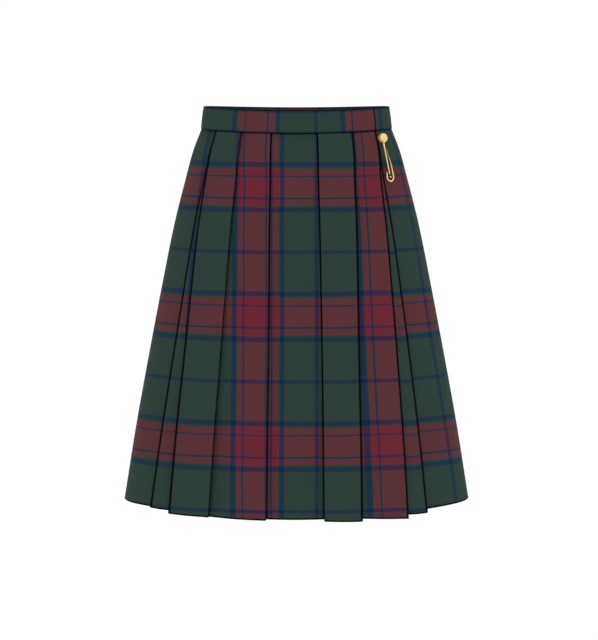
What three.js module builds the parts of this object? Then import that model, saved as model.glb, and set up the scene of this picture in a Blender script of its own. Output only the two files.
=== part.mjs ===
// Pleated tartan wrap skirt, filled out as when worn, with the kilt pin that fastens it.
//
// Millimetres, +Z up. The origin is the middle of the waistband. The front faces -Y and +X is the viewer's
// right. The cloth is one spiral of layers. A point on it has a turn, in degrees round from the front
// towards +X, and a depth, the number of layers that it lies inside the skirt's outer form.
import * as THREE from "three";

// ---------------------------------------------------------------- driving dimensions

const CLOTH_WALL = 1.1;
const PIECE_GAP = 0.3;
const DEPTH_RATIO = 0.75; // front-to-back size of the form over its side-to-side size

const BAND_HEIGHT = 31;
const BAND_TOP_HALF_WIDTH = 125.6;
const BAND_FOOT_HALF_WIDTH = 129.3;
const WAIST_DIP = 3.5; // the waist is this much lower at the middle of front and back than at the sides

const HEM_DROP_AT_SIDE = 521.5;
const HEM_DIP = 10;

const LAYER_PITCH = [1.55, 4.2]; // between the middles of stacked layers, at the seam and at the hem

const LAP = [31, 45]; // cloth that runs on beneath the over edge, at the seam and at the hem

// Half-widths of the cloth's form, with down as the share of the way from the waist seam to the hem.
const FORM_SECTIONS = [
  { down: 0.0, half: 129.3 },
  { down: 0.06, half: 140.8 },
  { down: 0.127, half: 150.0 },
  { down: 0.256, half: 166.4 },
  { down: 0.42, half: 183.2 },
  { down: 0.6, half: 200.6 },
  { down: 0.8, half: 219.0 },
  { down: 1.0, half: 235.2 },
];

// The levels at which the tables below give a fold's turns: waist seam, hip, middle and hem.
const STATIONS = [0.0, 0.147, 0.57, 1.0];

// The free edge of the wrap, which lies over everything to its right.
const OVER_EDGE = { turns: [56.2, 49.0, 42.8, 39.4] };

// Every pleat fold in order round the spiral, from the underlap to the over edge. faces is the way that the
// fold's edge points, seen from outside. turns has its place at each station. tuck is how far the cloth runs
// back under the fold's top layer, at the seam and at the hem. top is the depth of that layer at the fold,
// where it isn't outermost, at the same two. joins marks a fold that hides a seam between two widths.
const FOLDS = [
  { faces: "right", turns: [57.9, 51.9, 50.2, 49.0], tuck: [16, 28], top: [1, 1] },
  { faces: "right", turns: [93.5, 93.0, 93.0, 93.0], tuck: [16, 30] },
  { faces: "right", turns: [112.0, 112.5, 113.0, 113.5], tuck: [15, 28], joins: true },
  { faces: "right", turns: [131.0, 131.5, 132.0, 132.5], tuck: [16, 31] },
  { faces: "right", turns: [150.5, 150.5, 151.0, 151.0], tuck: [17, 29] },
  { faces: "right", turns: [168.5, 168.5, 169.0, 169.5], tuck: [16, 30] },
  { faces: "left", turns: [191.0, 191.0, 190.5, 190.5], tuck: [17, 31] },
  { faces: "left", turns: [209.5, 209.5, 209.5, 210.0], tuck: [16, 28] },
  { faces: "left", turns: [229.0, 229.0, 229.5, 229.5], tuck: [16, 30] },
  { faces: "left", turns: [247.5, 248.0, 248.5, 248.5], tuck: [15, 27], joins: true },
  { faces: "left", turns: [266.5, 267.0, 267.0, 267.0], tuck: [16, 29] },
  { faces: "left", turns: [300.2, 301.4, 301.9, 301.7], tuck: [15, 27], top: [2, 0.8] },
  { faces: "left", turns: [301.9, 304.4, 310.2, 312.9], tuck: [16, 26], joins: true },
  { faces: "right", turns: [324.8, 326.9, 328.9, 329.8], tuck: [16, 26] },
  { faces: "right", turns: [344.5, 346.4, 349.0, 350.2], tuck: [17, 30] },
  { faces: "left", turns: [372.0, 370.9, 369.8, 368.8], tuck: [17, 22] },
  { faces: "right", turns: [395.4, 391.1, 385.0, 381.8], tuck: [17, 22] },
];

// How much lower than the form's hem each panel hangs, at its left and right ends, in the spiral's order.
const PANEL_DROPS = [
  { left: 2.2, right: 3.5 },
  { left: -0.5, right: -1.0 },
  { left: 0.5, right: 1.5 },
  { left: 0.0, right: 2.0 },
  { left: 0.5, right: 1.5 },
  { left: 0.0, right: 2.5 },
  { left: 0.5, right: 0.5 },
  { left: 2.5, right: 0.5 },
  { left: 1.5, right: 0.0 },
  { left: 2.0, right: 0.5 },
  { left: 1.5, right: 0.0 },
  { left: 0.0, right: 0.0 },
  { left: 0.0, right: 0.0 },
  { left: 3.3, right: 2.6 },
  { left: 2.6, right: 2.2 },
  { left: 1.1, right: 1.1 },
  { left: 3.5, right: 5.7 },
  { left: 2.5, right: 7.2 },
];

// The widths of cloth between the folds marked joins, in the spiral's order.
const WIDTHS = [
  { name: "right_front_width", color: 0x35423f },
  { name: "back_width", color: 0x2f3e39 },
  { name: "left_side_width", color: 0x35423f },
  { name: "front_apron", color: 0x463137 },
];

// The waistband's faces round its own spiral, as distances out from the form. Its back is thicker at the
// foot, where it closes over the pleats' upper ends, and thin under the lap.
const BAND_SECTIONS = [
  { turn: 37.0, face: -1.25, backTop: -3.2, backFoot: -6.3 },
  { turn: 56.2, face: -1.25, backTop: -3.2, backFoot: -6.3 },
  { turn: 93.0, face: 0.9, backTop: -2.1, backFoot: -4.4 },
  { turn: 270.0, face: 0.9, backTop: -2.1, backFoot: -4.4 },
  { turn: 297.0, face: 0.9, backTop: -2.4, backFoot: -7.4 },
  { turn: 318.0, face: 0.9, backTop: -2.4, backFoot: -7.4 },
  { turn: 330.0, face: 0.9, backTop: -2.1, backFoot: -4.4 },
  { turn: 384.0, face: 0.9, backTop: -2.1, backFoot: -4.4 },
  { turn: 395.0, face: 0.9, backTop: -0.9, backFoot: -0.9 },
  { turn: 416.2, face: 0.9, backTop: -0.8, backFoot: -0.8 },
];
const BAND_STEP = 4; // degrees

// The kilt pin lies on the panel to the right of the closure.
const PIN_PANEL = 1;
const PIN_HEAD = { turn: 57.2, down: 0.0189, diameter: 13.6 };
const PIN_LOOP = { turn: 59.3, down: 0.1227, radius: 5.9 };
const PIN_ARM_DIAMETER = 2.2;
const PIN_WIRE_DIAMETER = 2.2;
const PIN_TURNED_FORWARD = 8; // degrees that the pin's plane is turned from the cloth towards the front
const PIN_HEAD_STANDS_OFF = 3.0; // more than the usual gap, because the head reaches over the edge of the apron
const PIN_POINT = { across: 5.8, up: 37.4, out: -2.6 }; // end of the short arm, from the loop's middle
const PIN_STUB = { across: -4.6, up: 8.1 }; // end of the loop's other side
const PIN_BOW = { across: 0.2, out: -0.4 }; // how far the short arm's middle lies off the loop's side
const PIN_ARM_END = { across: -1.2, up: 3.9, out: 1.15 };
const PIN_PLATE_THICKNESS = 0.9;
const PIN_STUD_DIAMETER = 2.6;
const STUD_RIM_HEIGHT = 0.5; // shares of the stud's radius
const STUD_DOME_HEIGHT = 0.6;

// ---------------------------------------------------------------- fineness of the meshes

const PANEL_STEP = 19; // mm of hem between two points of a panel
const FOLD_STEPS = 3; // chords round a fold
const LAP_STEPS = 3; // chords along the hidden lap
const WIRE_SIDES = 10;
const WIRE_STEPS = 44;
const ROUND_SIDES = 28;
const LOOP_ANGLES = [0, 30, 60, 90, 120, 150, 180]; // degrees round the wire's loop
const DOME_ANGLES = [0, 30, 60, 90]; // degrees up the stud's dome

// ---------------------------------------------------------------- the form of the cloth

const radians = THREE.MathUtils.degToRad;
const lerp = THREE.MathUtils.lerp;

/** Slope at a row of a table for a smooth curve that never overshoots the rows. */
function monotoneSlope(xs, ys, index) {
  if (index === 0 || index === xs.length - 1) {
    const near = index === 0 ? 0 : index - 1;
    return (ys[near + 1] - ys[near]) / (xs[near + 1] - xs[near]);
  }
  const before = (ys[index] - ys[index - 1]) / (xs[index] - xs[index - 1]);
  const after = (ys[index + 1] - ys[index]) / (xs[index + 1] - xs[index]);
  return before * after <= 0 ? 0 : (2 * before * after) / (before + after);
}

/** Value at x of the smooth curve through the points (xs, ys). */
function smoothValue(xs, ys, x) {
  const inside = THREE.MathUtils.clamp(x, xs[0], xs.at(-1));
  const row = Math.max(0, Math.min(xs.length - 2, xs.findLastIndex((start) => start <= inside)));
  const span = xs[row + 1] - xs[row];
  const t = (inside - xs[row]) / span;
  const [slope0, slope1] = [monotoneSlope(xs, ys, row), monotoneSlope(xs, ys, row + 1)];
  const rise0 = t * (1 - t) ** 2 * span * slope0;
  const rise1 = t * t * (t - 1) * span * slope1;
  return lerp(ys[row], ys[row + 1], t * t * (3 - 2 * t)) + rise0 + rise1;
}

const FORM_DOWNS = FORM_SECTIONS.map((section) => section.down);
const FORM_HALVES = FORM_SECTIONS.map((section) => section.half);

const halfWidth = (down) => smoothValue(FORM_DOWNS, FORM_HALVES, down);
const turnAt = (row, down) => smoothValue(STATIONS, row.turns, down);
const layerPitch = (down) => lerp(...LAYER_PITCH, down);
const waistDip = (turn) => WAIST_DIP * Math.cos(radians(turn)) ** 2;
const seamHeight = (turn) => -BAND_HEIGHT / 2 - PIECE_GAP - waistDip(turn);
const hemHeight = (turn) => -HEM_DROP_AT_SIDE - HEM_DIP * Math.cos(radians(turn)) ** 2;

/** Millimetres of the form's outline that one degree of turn covers. */
function outlinePerDegree(turn, half) {
  const angle = radians(turn);
  return radians(Math.hypot(half * Math.cos(angle), half * DEPTH_RATIO * Math.sin(angle)));
}

/** A point out from an ellipse of the form, and moved along it, at a height. */
function formPoint(turn, half, height, out, along = 0) {
  const angle = radians(turn);
  const tangent = new THREE.Vector2(half * Math.cos(angle), half * DEPTH_RATIO * Math.sin(angle)).normalize();
  return new THREE.Vector3(
    half * Math.sin(angle) + tangent.y * out + tangent.x * along,
    -half * DEPTH_RATIO * Math.cos(angle) - tangent.x * out + tangent.y * along,
    height,
  );
}

// ---------------------------------------------------------------- the pleats

const LAST_PANEL = FOLDS.length;

/** Depth of a fold's top layer at its edge. */
const topDepth = (fold, down) => (fold.top ? lerp(...fold.top, down) : 0);

/** The turns between which a panel shows. */
function panelEnds(panel, down) {
  const left = panel === 0 ? turnAt(OVER_EDGE, down) : turnAt(FOLDS[panel - 1], down);
  const right = panel === LAST_PANEL ? turnAt(OVER_EDGE, down) + 360 : turnAt(FOLDS[panel], down);
  return [left, right];
}

/** The depths of a panel at its left and right ends. */
function panelEndDepths(panel, down) {
  const [before, after] = [FOLDS[panel - 1], FOLDS[panel]];
  const left = before ? topDepth(before, down) + (before.faces === "right" ? 2 : 0) : 1;
  const right = after ? topDepth(after, down) + (after.faces === "left" ? 2 : 0) : 0;
  return [left, right];
}

/** Depth of a panel's layer at a turn, on the panel or where it runs on under its neighbours. */
function panelDepth(panel, turn, down) {
  const [left, right] = panelEnds(panel, down);
  if (panel === 0 && turn < left) return panelDepth(LAST_PANEL, turn + 360, down) + 1;
  if (turn < left && FOLDS[panel - 1].faces === "right") return panelDepth(panel - 1, turn, down) + 2;
  if (turn > right && panel < LAST_PANEL && FOLDS[panel].faces === "left") {
    return panelDepth(panel + 1, turn, down) + 2;
  }
  const [depthLeft, depthRight] = panelEndDepths(panel, down);
  return lerp(depthLeft, depthRight, THREE.MathUtils.clamp((turn - left) / (right - left), 0, 1));
}

/** Points of one panel between its folds, without the folds' own points. */
function panelPoints(panel, down) {
  const [left, right] = panelEnds(panel, down);
  const [hemLeft, hemRight] = panelEnds(panel, 1);
  const middle = (hemLeft + hemRight) / 2;
  const hemWidth = (hemRight - hemLeft) * outlinePerDegree(middle, halfWidth(1));
  const count = Math.max(2, Math.round(hemWidth / PANEL_STEP));
  const inset = layerPitch(down) / 2 + CLOTH_WALL / 2;
  const roundsLeft = panel > 0 && FOLDS[panel - 1].faces === "left";
  const roundsRight = panel < LAST_PANEL && FOLDS[panel].faces === "right";
  const perDegree = outlinePerDegree((left + right) / 2, halfWidth(down));
  const start = left + (roundsLeft ? inset / perDegree : 0);
  const end = right - (roundsRight ? inset / perDegree : 0);
  const { left: dropLeft, right: dropRight } = PANEL_DROPS[panel];
  return Array.from({ length: count - 1 }, (_, step) => {
    const share = (step + 1) / count;
    const turn = lerp(start, end, share);
    return { turn, depth: panelDepth(panel, turn, down), along: 0, drop: lerp(dropLeft, dropRight, share) };
  });
}

/** Points of the hidden lap, from its own edge to where it comes out from under the over edge. */
function lapPoints(down) {
  const overEdge = turnAt(OVER_EDGE, down);
  const lap = lerp(...LAP, down) / outlinePerDegree(overEdge, halfWidth(down));
  return Array.from({ length: LAP_STEPS + 1 }, (_, step) => {
    const turn = overEdge - lap * (1 - step / LAP_STEPS);
    return { turn, depth: panelDepth(0, turn, down), along: 0, drop: PANEL_DROPS[0].left };
  });
}

/**
 * Points round one pleat fold: its edge, the tuck back under the top layer, the hidden crease, and the way
 * out again. They are worked out for an edge that faces right, and mirrored and reversed for one that faces
 * left. null stands where two widths of cloth are joined.
 */
function foldPoints(index, down) {
  const fold = FOLDS[index];
  const sign = fold.faces === "right" ? 1 : -1;
  const top = fold.faces === "right" ? index : index + 1;
  const edge = turnAt(fold, down);
  const perDegree = outlinePerDegree(edge, halfWidth(down));
  const tuck = lerp(...fold.tuck, down);
  const radius = layerPitch(down) / 2;
  const inset = radius + CLOTH_WALL / 2;
  const points = [];
  const add = (distance, layer, along) => {
    const turn = edge - (sign * distance) / perDegree;
    points.push({ turn, depth: panelDepth(top, turn, down) + layer, along: sign * along });
  };
  const round = (distance, layer, centre, bulge) => {
    for (let step = 0; step <= FOLD_STEPS; step += 1) {
      const angle = (Math.PI * step) / FOLD_STEPS;
      add(distance, layer + (1 - Math.cos(angle)) / 2, centre + bulge * Math.sin(angle));
    }
  };
  const middle = (inset + tuck) / 2;
  round(0, 0, -inset, radius);
  if (fold.joins) {
    add(middle - PIECE_GAP / 2, 1, 0);
    points.push(null);
    add(middle + PIECE_GAP / 2, 1, 0);
  } else {
    add(middle, 1, 0);
  }
  round(tuck, 1, 0, -radius);
  add(tuck / 2, 2, 0);
  add(0, 2, 0);
  if (fold.faces === "left") points.reverse();
  const [dropFrom, dropTo] = [PANEL_DROPS[index].right, PANEL_DROPS[index + 1].left];
  points.forEach((point, at) => {
    if (point) point.drop = lerp(dropFrom, dropTo, at / (points.length - 1));
  });
  return points;
}

/** The skirt's cloth at one level, as a list of points for each width of cloth. */
function clothRing(down) {
  const spiral = lapPoints(down);
  for (let panel = 0; panel < LAST_PANEL; panel += 1) {
    spiral.push(...panelPoints(panel, down), ...foldPoints(panel, down));
  }
  const turn = turnAt(OVER_EDGE, down) + 360;
  spiral.push(...panelPoints(LAST_PANEL, down), { turn, depth: 0, along: 0, drop: PANEL_DROPS.at(-1).right });
  const widths = [[]];
  for (const point of spiral) {
    if (point) widths.at(-1).push(point);
    else widths.push([]);
  }
  return widths;
}

/** Where a point of a cloth ring lies, out from the cloth's middle by some distance. */
function clothPoint({ turn, depth, along, drop }, down, out = 0) {
  const height = lerp(seamHeight(turn), hemHeight(turn) - drop, down);
  return formPoint(turn, halfWidth(down), height, out - depth * layerPitch(down), along);
}

// ---------------------------------------------------------------- solids

/** Directions square to a line of points in plan, lengthened at bends to keep a wall's thickness. */
function wallDirections(line) {
  const normals = line.slice(1).map(
    (point, at) => new THREE.Vector2(point.y - line[at].y, line[at].x - point.x).normalize(),
  );
  return line.map((_, at) => {
    const before = normals[Math.max(0, at - 1)];
    const after = normals[Math.min(normals.length - 1, at)];
    const mitre = before.clone().add(after).normalize();
    return mitre.divideScalar(mitre.dot(after));
  });
}

/** The two faces of a wall whose middle follows a line. */
function wallFaces(line, thickness) {
  const directions = wallDirections(line);
  const shifted = (distance) => line.map((point, at) => new THREE.Vector3(
    point.x + directions[at].x * distance,
    point.y + directions[at].y * distance,
    point.z,
  ));
  return { outer: shifted(thickness / 2), inner: shifted(-thickness / 2) };
}

/** A closed solid between two grids of points. Rings run from top to foot and points from left to right. */
function sheetSolid(outer, inner) {
  const rings = outer.length;
  const points = outer[0].length;
  const positions = [...outer.flat(), ...inner.flat()].flatMap((point) => point.toArray());
  const index = [];
  const at = (side, ring, point) => (side * rings + ring) * points + point;
  const quad = (a, b, c, d) => index.push(a, b, c, a, c, d);
  for (let ring = 0; ring < rings - 1; ring += 1) {
    for (let point = 0; point < points - 1; point += 1) {
      quad(at(0, ring, point), at(0, ring + 1, point), at(0, ring + 1, point + 1), at(0, ring, point + 1));
      quad(at(1, ring, point), at(1, ring, point + 1), at(1, ring + 1, point + 1), at(1, ring + 1, point));
    }
    quad(at(0, ring, 0), at(1, ring, 0), at(1, ring + 1, 0), at(0, ring + 1, 0));
    const end = points - 1;
    quad(at(0, ring, end), at(0, ring + 1, end), at(1, ring + 1, end), at(1, ring, end));
  }
  const foot = rings - 1;
  for (let point = 0; point < points - 1; point += 1) {
    quad(at(0, 0, point), at(0, 0, point + 1), at(1, 0, point + 1), at(1, 0, point));
    quad(at(0, foot, point), at(1, foot, point), at(1, foot, point + 1), at(0, foot, point + 1));
  }
  const geometry = new THREE.BufferGeometry();
  geometry.setAttribute("position", new THREE.Float32BufferAttribute(positions, 3));
  geometry.setIndex(index);
  geometry.computeVertexNormals();
  return geometry;
}

/** The solid of each width of cloth, in the spiral's order. */
function clothGeometries() {
  const rings = FORM_DOWNS.map((down) => clothRing(down).map(
    (width) => wallFaces(width.map((point) => clothPoint(point, down)), CLOTH_WALL),
  ));
  return WIDTHS.map((_, width) => sheetSolid(
    rings.map((ring) => ring[width].outer),
    rings.map((ring) => ring[width].inner),
  ));
}

/** The waistband: a strip once round the waist that laps under its own end. */
function waistbandGeometry() {
  const turns = BAND_SECTIONS.map((section) => section.turn);
  const distance = (column, turn) => {
    const row = Math.min(BAND_SECTIONS.length - 2, turns.findLastIndex((start) => start <= turn));
    const share = (turn - turns[row]) / (turns[row + 1] - turns[row]);
    return lerp(BAND_SECTIONS[row][column], BAND_SECTIONS[row + 1][column], share);
  };
  const steps = Math.round((turns.at(-1) - turns[0]) / BAND_STEP);
  const stops = Array.from({ length: steps + 1 }, (_, step) => lerp(turns[0], turns.at(-1), step / steps));
  const edge = (half, height, column) => stops.map(
    (turn) => formPoint(turn, half, height - waistDip(turn), distance(column, turn)),
  );
  const [top, foot] = [BAND_HEIGHT / 2, -BAND_HEIGHT / 2];
  return sheetSolid(
    [edge(BAND_TOP_HALF_WIDTH, top, "face"), edge(BAND_FOOT_HALF_WIDTH, foot, "face")],
    [edge(BAND_TOP_HALF_WIDTH, top, "backTop"), edge(BAND_FOOT_HALF_WIDTH, foot, "backFoot")],
  );
}

// ---------------------------------------------------------------- the kilt pin

/** A point out from the panel that the pin lies on. */
function pinSeat({ turn, down }, out) {
  return clothPoint({ turn, depth: panelDepth(PIN_PANEL, turn, down), along: 0, drop: 0 }, down, out);
}

/** The pin's own frame: the loop's middle, and directions across, up to the head, and out of the cloth. */
function pinFrame() {
  const clear = CLOTH_WALL / 2 + PIECE_GAP;
  const head = pinSeat(PIN_HEAD, clear + PIN_HEAD.diameter / 2 + PIN_HEAD_STANDS_OFF);
  const lift = PIN_LOOP.radius * Math.sin(radians(PIN_TURNED_FORWARD));
  const loop = pinSeat(PIN_LOOP, clear + PIN_WIRE_DIAMETER / 2 + lift);
  const up = head.clone().sub(loop).normalize();
  const outwards = pinSeat(PIN_LOOP, 1).sub(pinSeat(PIN_LOOP, 0));
  outwards.applyAxisAngle(up, -radians(PIN_TURNED_FORWARD));
  const across = up.clone().cross(outwards).normalize();
  const out = across.clone().cross(up);
  return { head, loop, up, across, out };
}

const PIN = pinFrame();

/** A point given in the pin's own frame. */
const pinPoint = (across, up, out = 0) => PIN.loop.clone()
  .addScaledVector(PIN.across, across)
  .addScaledVector(PIN.up, up)
  .addScaledVector(PIN.out, out);

/** A round bar along a curve. */
function barGeometry(curve, diameter, steps) {
  const section = new THREE.Shape(
    new THREE.EllipseCurve(0, 0, diameter / 2, diameter / 2).getPoints(WIRE_SIDES).slice(0, -1),
  );
  return new THREE.ExtrudeGeometry(section, { steps, extrudePath: curve, bevelEnabled: false });
}

/** The wire: the short arm's point, down its side, round the loop and up to the stub. */
function wireGeometry() {
  const { radius } = PIN_LOOP;
  const arc = LOOP_ANGLES.map((degrees) => {
    const angle = radians(degrees);
    return pinPoint(radius * Math.cos(angle), -radius * Math.sin(angle));
  });
  const side = pinPoint(radius + PIN_BOW.across, PIN_POINT.up / 2, PIN_BOW.out);
  const shoulder = pinPoint(radius, radius);
  const point = pinPoint(PIN_POINT.across, PIN_POINT.up, PIN_POINT.out);
  const curve = new THREE.CatmullRomCurve3(
    [point, side, shoulder, ...arc, pinPoint(PIN_STUB.across, PIN_STUB.up)],
    false,
    "centripetal",
  );
  return barGeometry(curve, PIN_WIRE_DIAMETER, WIRE_STEPS);
}

/** The straight arm from the head to the plate. */
function armGeometry() {
  const start = PIN.head.clone().addScaledVector(PIN.up, -PIN_HEAD.diameter / 2 - PIECE_GAP);
  const end = pinPoint(PIN_ARM_END.across, PIN_ARM_END.up, PIN_ARM_END.out);
  return barGeometry(new THREE.LineCurve3(start, end), PIN_ARM_DIAMETER, 1);
}

/** A turned piece, its axis along the pin's own out direction. */
function turnedOnPin(profile, out) {
  const geometry = new THREE.LatheGeometry(profile.map(([x, y]) => new THREE.Vector2(x, y)), ROUND_SIDES);
  const frame = new THREE.Matrix4().makeBasis(PIN.across, PIN.out, PIN.up.clone().negate());
  return geometry.applyMatrix4(frame.setPosition(pinPoint(0, 0, out)));
}

/** The dark plate that fills the loop. */
function plateGeometry() {
  const radius = PIN_LOOP.radius - PIN_WIRE_DIAMETER / 2 - PIECE_GAP;
  const half = PIN_PLATE_THICKNESS / 2;
  return turnedOnPin([[0, -half], [radius, -half], [radius, half], [0, half]], -half);
}

/** The stud on the middle of the plate. */
function studGeometry() {
  const radius = PIN_STUD_DIAMETER / 2;
  const dome = DOME_ANGLES.map((degrees) => [
    radius * Math.cos(radians(degrees)),
    radius * (STUD_RIM_HEIGHT + STUD_DOME_HEIGHT * Math.sin(radians(degrees))),
  ]);
  dome[dome.length - 1][0] = 0;
  return turnedOnPin([[0, 0], [radius, 0], ...dome], PIECE_GAP);
}

/** The round head. */
function headGeometry() {
  const geometry = new THREE.SphereGeometry(PIN_HEAD.diameter / 2, ROUND_SIDES, ROUND_SIDES / 2);
  return geometry.translate(PIN.head.x, PIN.head.y, PIN.head.z);
}

// ---------------------------------------------------------------- the scene graph

const cloth = (color) => new THREE.MeshStandardMaterial({ color, roughness: 0.92, metalness: 0 });
const gilt = new THREE.MeshStandardMaterial({ color: 0xe6bd6c, roughness: 0.3, metalness: 1 });
const darkSteel = new THREE.MeshStandardMaterial({ color: 0x2a2420, roughness: 0.5, metalness: 1 });

/** A named mesh. */
function piece(name, geometry, material) {
  const mesh = new THREE.Mesh(geometry, material);
  mesh.name = name;
  return mesh;
}

/** The waistband and every width of cloth. */
function garment() {
  const group = new THREE.Group();
  group.add(piece("waistband", waistbandGeometry(), cloth(0x3a4a45)));
  clothGeometries().forEach((geometry, width) => {
    group.add(piece(WIDTHS[width].name, geometry, cloth(WIDTHS[width].color)));
  });
  return group;
}

/** The kilt pin, fastened. */
function kiltPin() {
  const group = new THREE.Group();
  group.add(
    piece("pin_head", headGeometry(), gilt),
    piece("pin_arm", armGeometry(), gilt),
    piece("pin_wire", wireGeometry(), gilt),
    piece("pin_plate", plateGeometry(), darkSteel),
    piece("pin_stud", studGeometry(), gilt),
  );
  return group;
}

const skirt = new THREE.Group();
skirt.add(garment(), kiltPin());

export default skirt;
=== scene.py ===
"""Looks of a pleated tartan wrap skirt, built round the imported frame.

Sizes are in millimetres until a mesh is made, and meshes are in metres. +Z is up, the skirt's front faces -Y
and +X is the viewer's right. The cloth is one spiral of layers. A point on it has a turn, in degrees round
from the front towards +X, and a depth, the number of layers that it lies inside the skirt's outer form.
"""

import logging
import math
from dataclasses import dataclass, field
from enum import Enum

import bpy
import numpy as np
from mathutils import Matrix, Vector


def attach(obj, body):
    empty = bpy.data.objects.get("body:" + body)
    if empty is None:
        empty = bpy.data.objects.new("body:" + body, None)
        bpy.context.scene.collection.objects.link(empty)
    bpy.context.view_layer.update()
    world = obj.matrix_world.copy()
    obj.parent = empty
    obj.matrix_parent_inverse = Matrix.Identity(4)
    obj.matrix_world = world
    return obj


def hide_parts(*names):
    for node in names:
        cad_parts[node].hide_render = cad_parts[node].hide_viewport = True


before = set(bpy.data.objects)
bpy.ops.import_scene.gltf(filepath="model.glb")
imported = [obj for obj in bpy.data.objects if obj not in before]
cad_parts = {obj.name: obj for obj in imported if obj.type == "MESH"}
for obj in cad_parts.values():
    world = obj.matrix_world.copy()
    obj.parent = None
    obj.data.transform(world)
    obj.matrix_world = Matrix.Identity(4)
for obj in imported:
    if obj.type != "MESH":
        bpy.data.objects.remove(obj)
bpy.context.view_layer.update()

Array = np.ndarray
MM = 0.001
ROOT = "root"
CLOTH_MAP = "cloth"
BAKE_MAP = "OFBake"
# The mesh attribute that holds each point's distance from an edge; the cloth's material paints shadow lines
# by it.
EDGE_ATTRIBUTE = "edge_distance"
SHARP_ANGLE = 48  # degrees between two faces past which their edge shades sharp
FULL_TURN = 360.0
WHITE = (1, 1, 1, 1)

log = logging.getLogger("skirt")


# ---------------- helpers on numbers and meshes


def monotone_slopes(xs: Array, ys: Array) -> Array:
    """Slopes at a table's rows for a smooth curve that never overshoots them.

    Args:
        xs: The rows' positions, rising.
        ys: The rows' values.

    Returns:
        One slope for each row.
    """
    chords = np.diff(ys) / np.diff(xs)
    slopes = np.concatenate([chords[:1], np.zeros(len(xs) - 2), chords[-1:]])
    before, after = chords[:-1], chords[1:]
    same_way = before * after > 0
    slopes[1:-1][same_way] = (2 * before * after)[same_way] / (before + after)[same_way]
    return slopes


def smooth_value(xs: tuple[float, ...], ys: tuple[float, ...], x: float) -> float:
    """Reads the smooth curve through a table's rows.

    Args:
        xs: The rows' positions, rising.
        ys: The rows' values.
        x: Where to read it. Past the table's ends it keeps their values.

    Returns:
        The curve's value at x.
    """
    at, values = np.array(xs), np.array(ys)
    slopes = monotone_slopes(at, values)
    inside = min(max(x, at[0]), at[-1])
    row = min(len(at) - 2, int(np.searchsorted(at, inside, side="right")) - 1)
    span = at[row + 1] - at[row]
    t = (inside - at[row]) / span
    rise = t * (1 - t) ** 2 * span * slopes[row] + t * t * (t - 1) * span * slopes[row + 1]
    return float(lerp(values[row], values[row + 1], t * t * (3 - 2 * t)) + rise)


def lerp(a: float | Array, b: float | Array, share: float | Array) -> float | Array:
    """The value that lies share of the way from a to b."""
    return a + (b - a) * share


def link(obj: bpy.types.Object) -> bpy.types.Object:
    """Puts an object in the scene and returns it."""
    bpy.context.scene.collection.objects.link(obj)
    return obj


def mesh_object(name: str, points: Array, faces: list[tuple[int, ...]]) -> bpy.types.Object:
    """Makes a smooth-shaded mesh object.

    Args:
        name: The piece's name.
        points: Its corners in metres.
        faces: Indices of each face's corners, seen counterclockwise from outside.

    Returns:
        The object, at the origin.
    """
    mesh = bpy.data.meshes.new(name)
    mesh.from_pydata([tuple(point) for point in points], [], faces)
    mesh.shade_smooth()
    mesh.set_sharp_from_angle(angle=math.radians(SHARP_ANGLE))
    return link(bpy.data.objects.new(name, mesh))


def tube_faces(rows: int, points: int) -> list[tuple[int, ...]]:
    """Lists the faces of a tube made of rows of points, whose last row joins its first.

    Args:
        rows: How many rows there are.
        points: How many points each has.

    Returns:
        Indices of each face's corners.
    """
    faces = []
    for row in range(rows):
        after = (row + 1) % rows
        for point in range(points - 1):
            a, b = row * points + point, after * points + point
            faces.append((a, b, b + 1, a + 1))
    return faces


def lay_map(mesh: bpy.types.Mesh, name: str, values: Array) -> None:
    """Lays a map on a mesh, from two values for each corner of its faces."""
    layer = mesh.uv_layers.new(name=name)
    layer.data.foreach_set("uv", values.ravel())


def corner_table(mesh: bpy.types.Mesh) -> tuple[Array, Array, Array]:
    """Lists the corners of a mesh's faces.

    Args:
        mesh: The mesh.

    Returns:
        The point of each corner, where each face's corners start, and how many it has.
    """
    corners = np.array([loop.vertex_index for loop in mesh.loops])
    starts = np.array([polygon.loop_start for polygon in mesh.polygons])
    totals = np.array([polygon.loop_total for polygon in mesh.polygons])
    return corners, starts, totals


def note_edges(mesh: bpy.types.Mesh, distances: Array) -> None:
    """Notes each point's distance from a pressed edge, in millimetres, as the mesh's own attribute, which
    sets where dark shadow lines are painted into the cloth's colour.
    """
    attribute = mesh.attributes.new(EDGE_ATTRIBUTE, "FLOAT", "POINT")
    attribute.data.foreach_set("value", distances.ravel() * MM)


# ---------------- node helpers

NODE_SPACING = 180


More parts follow.
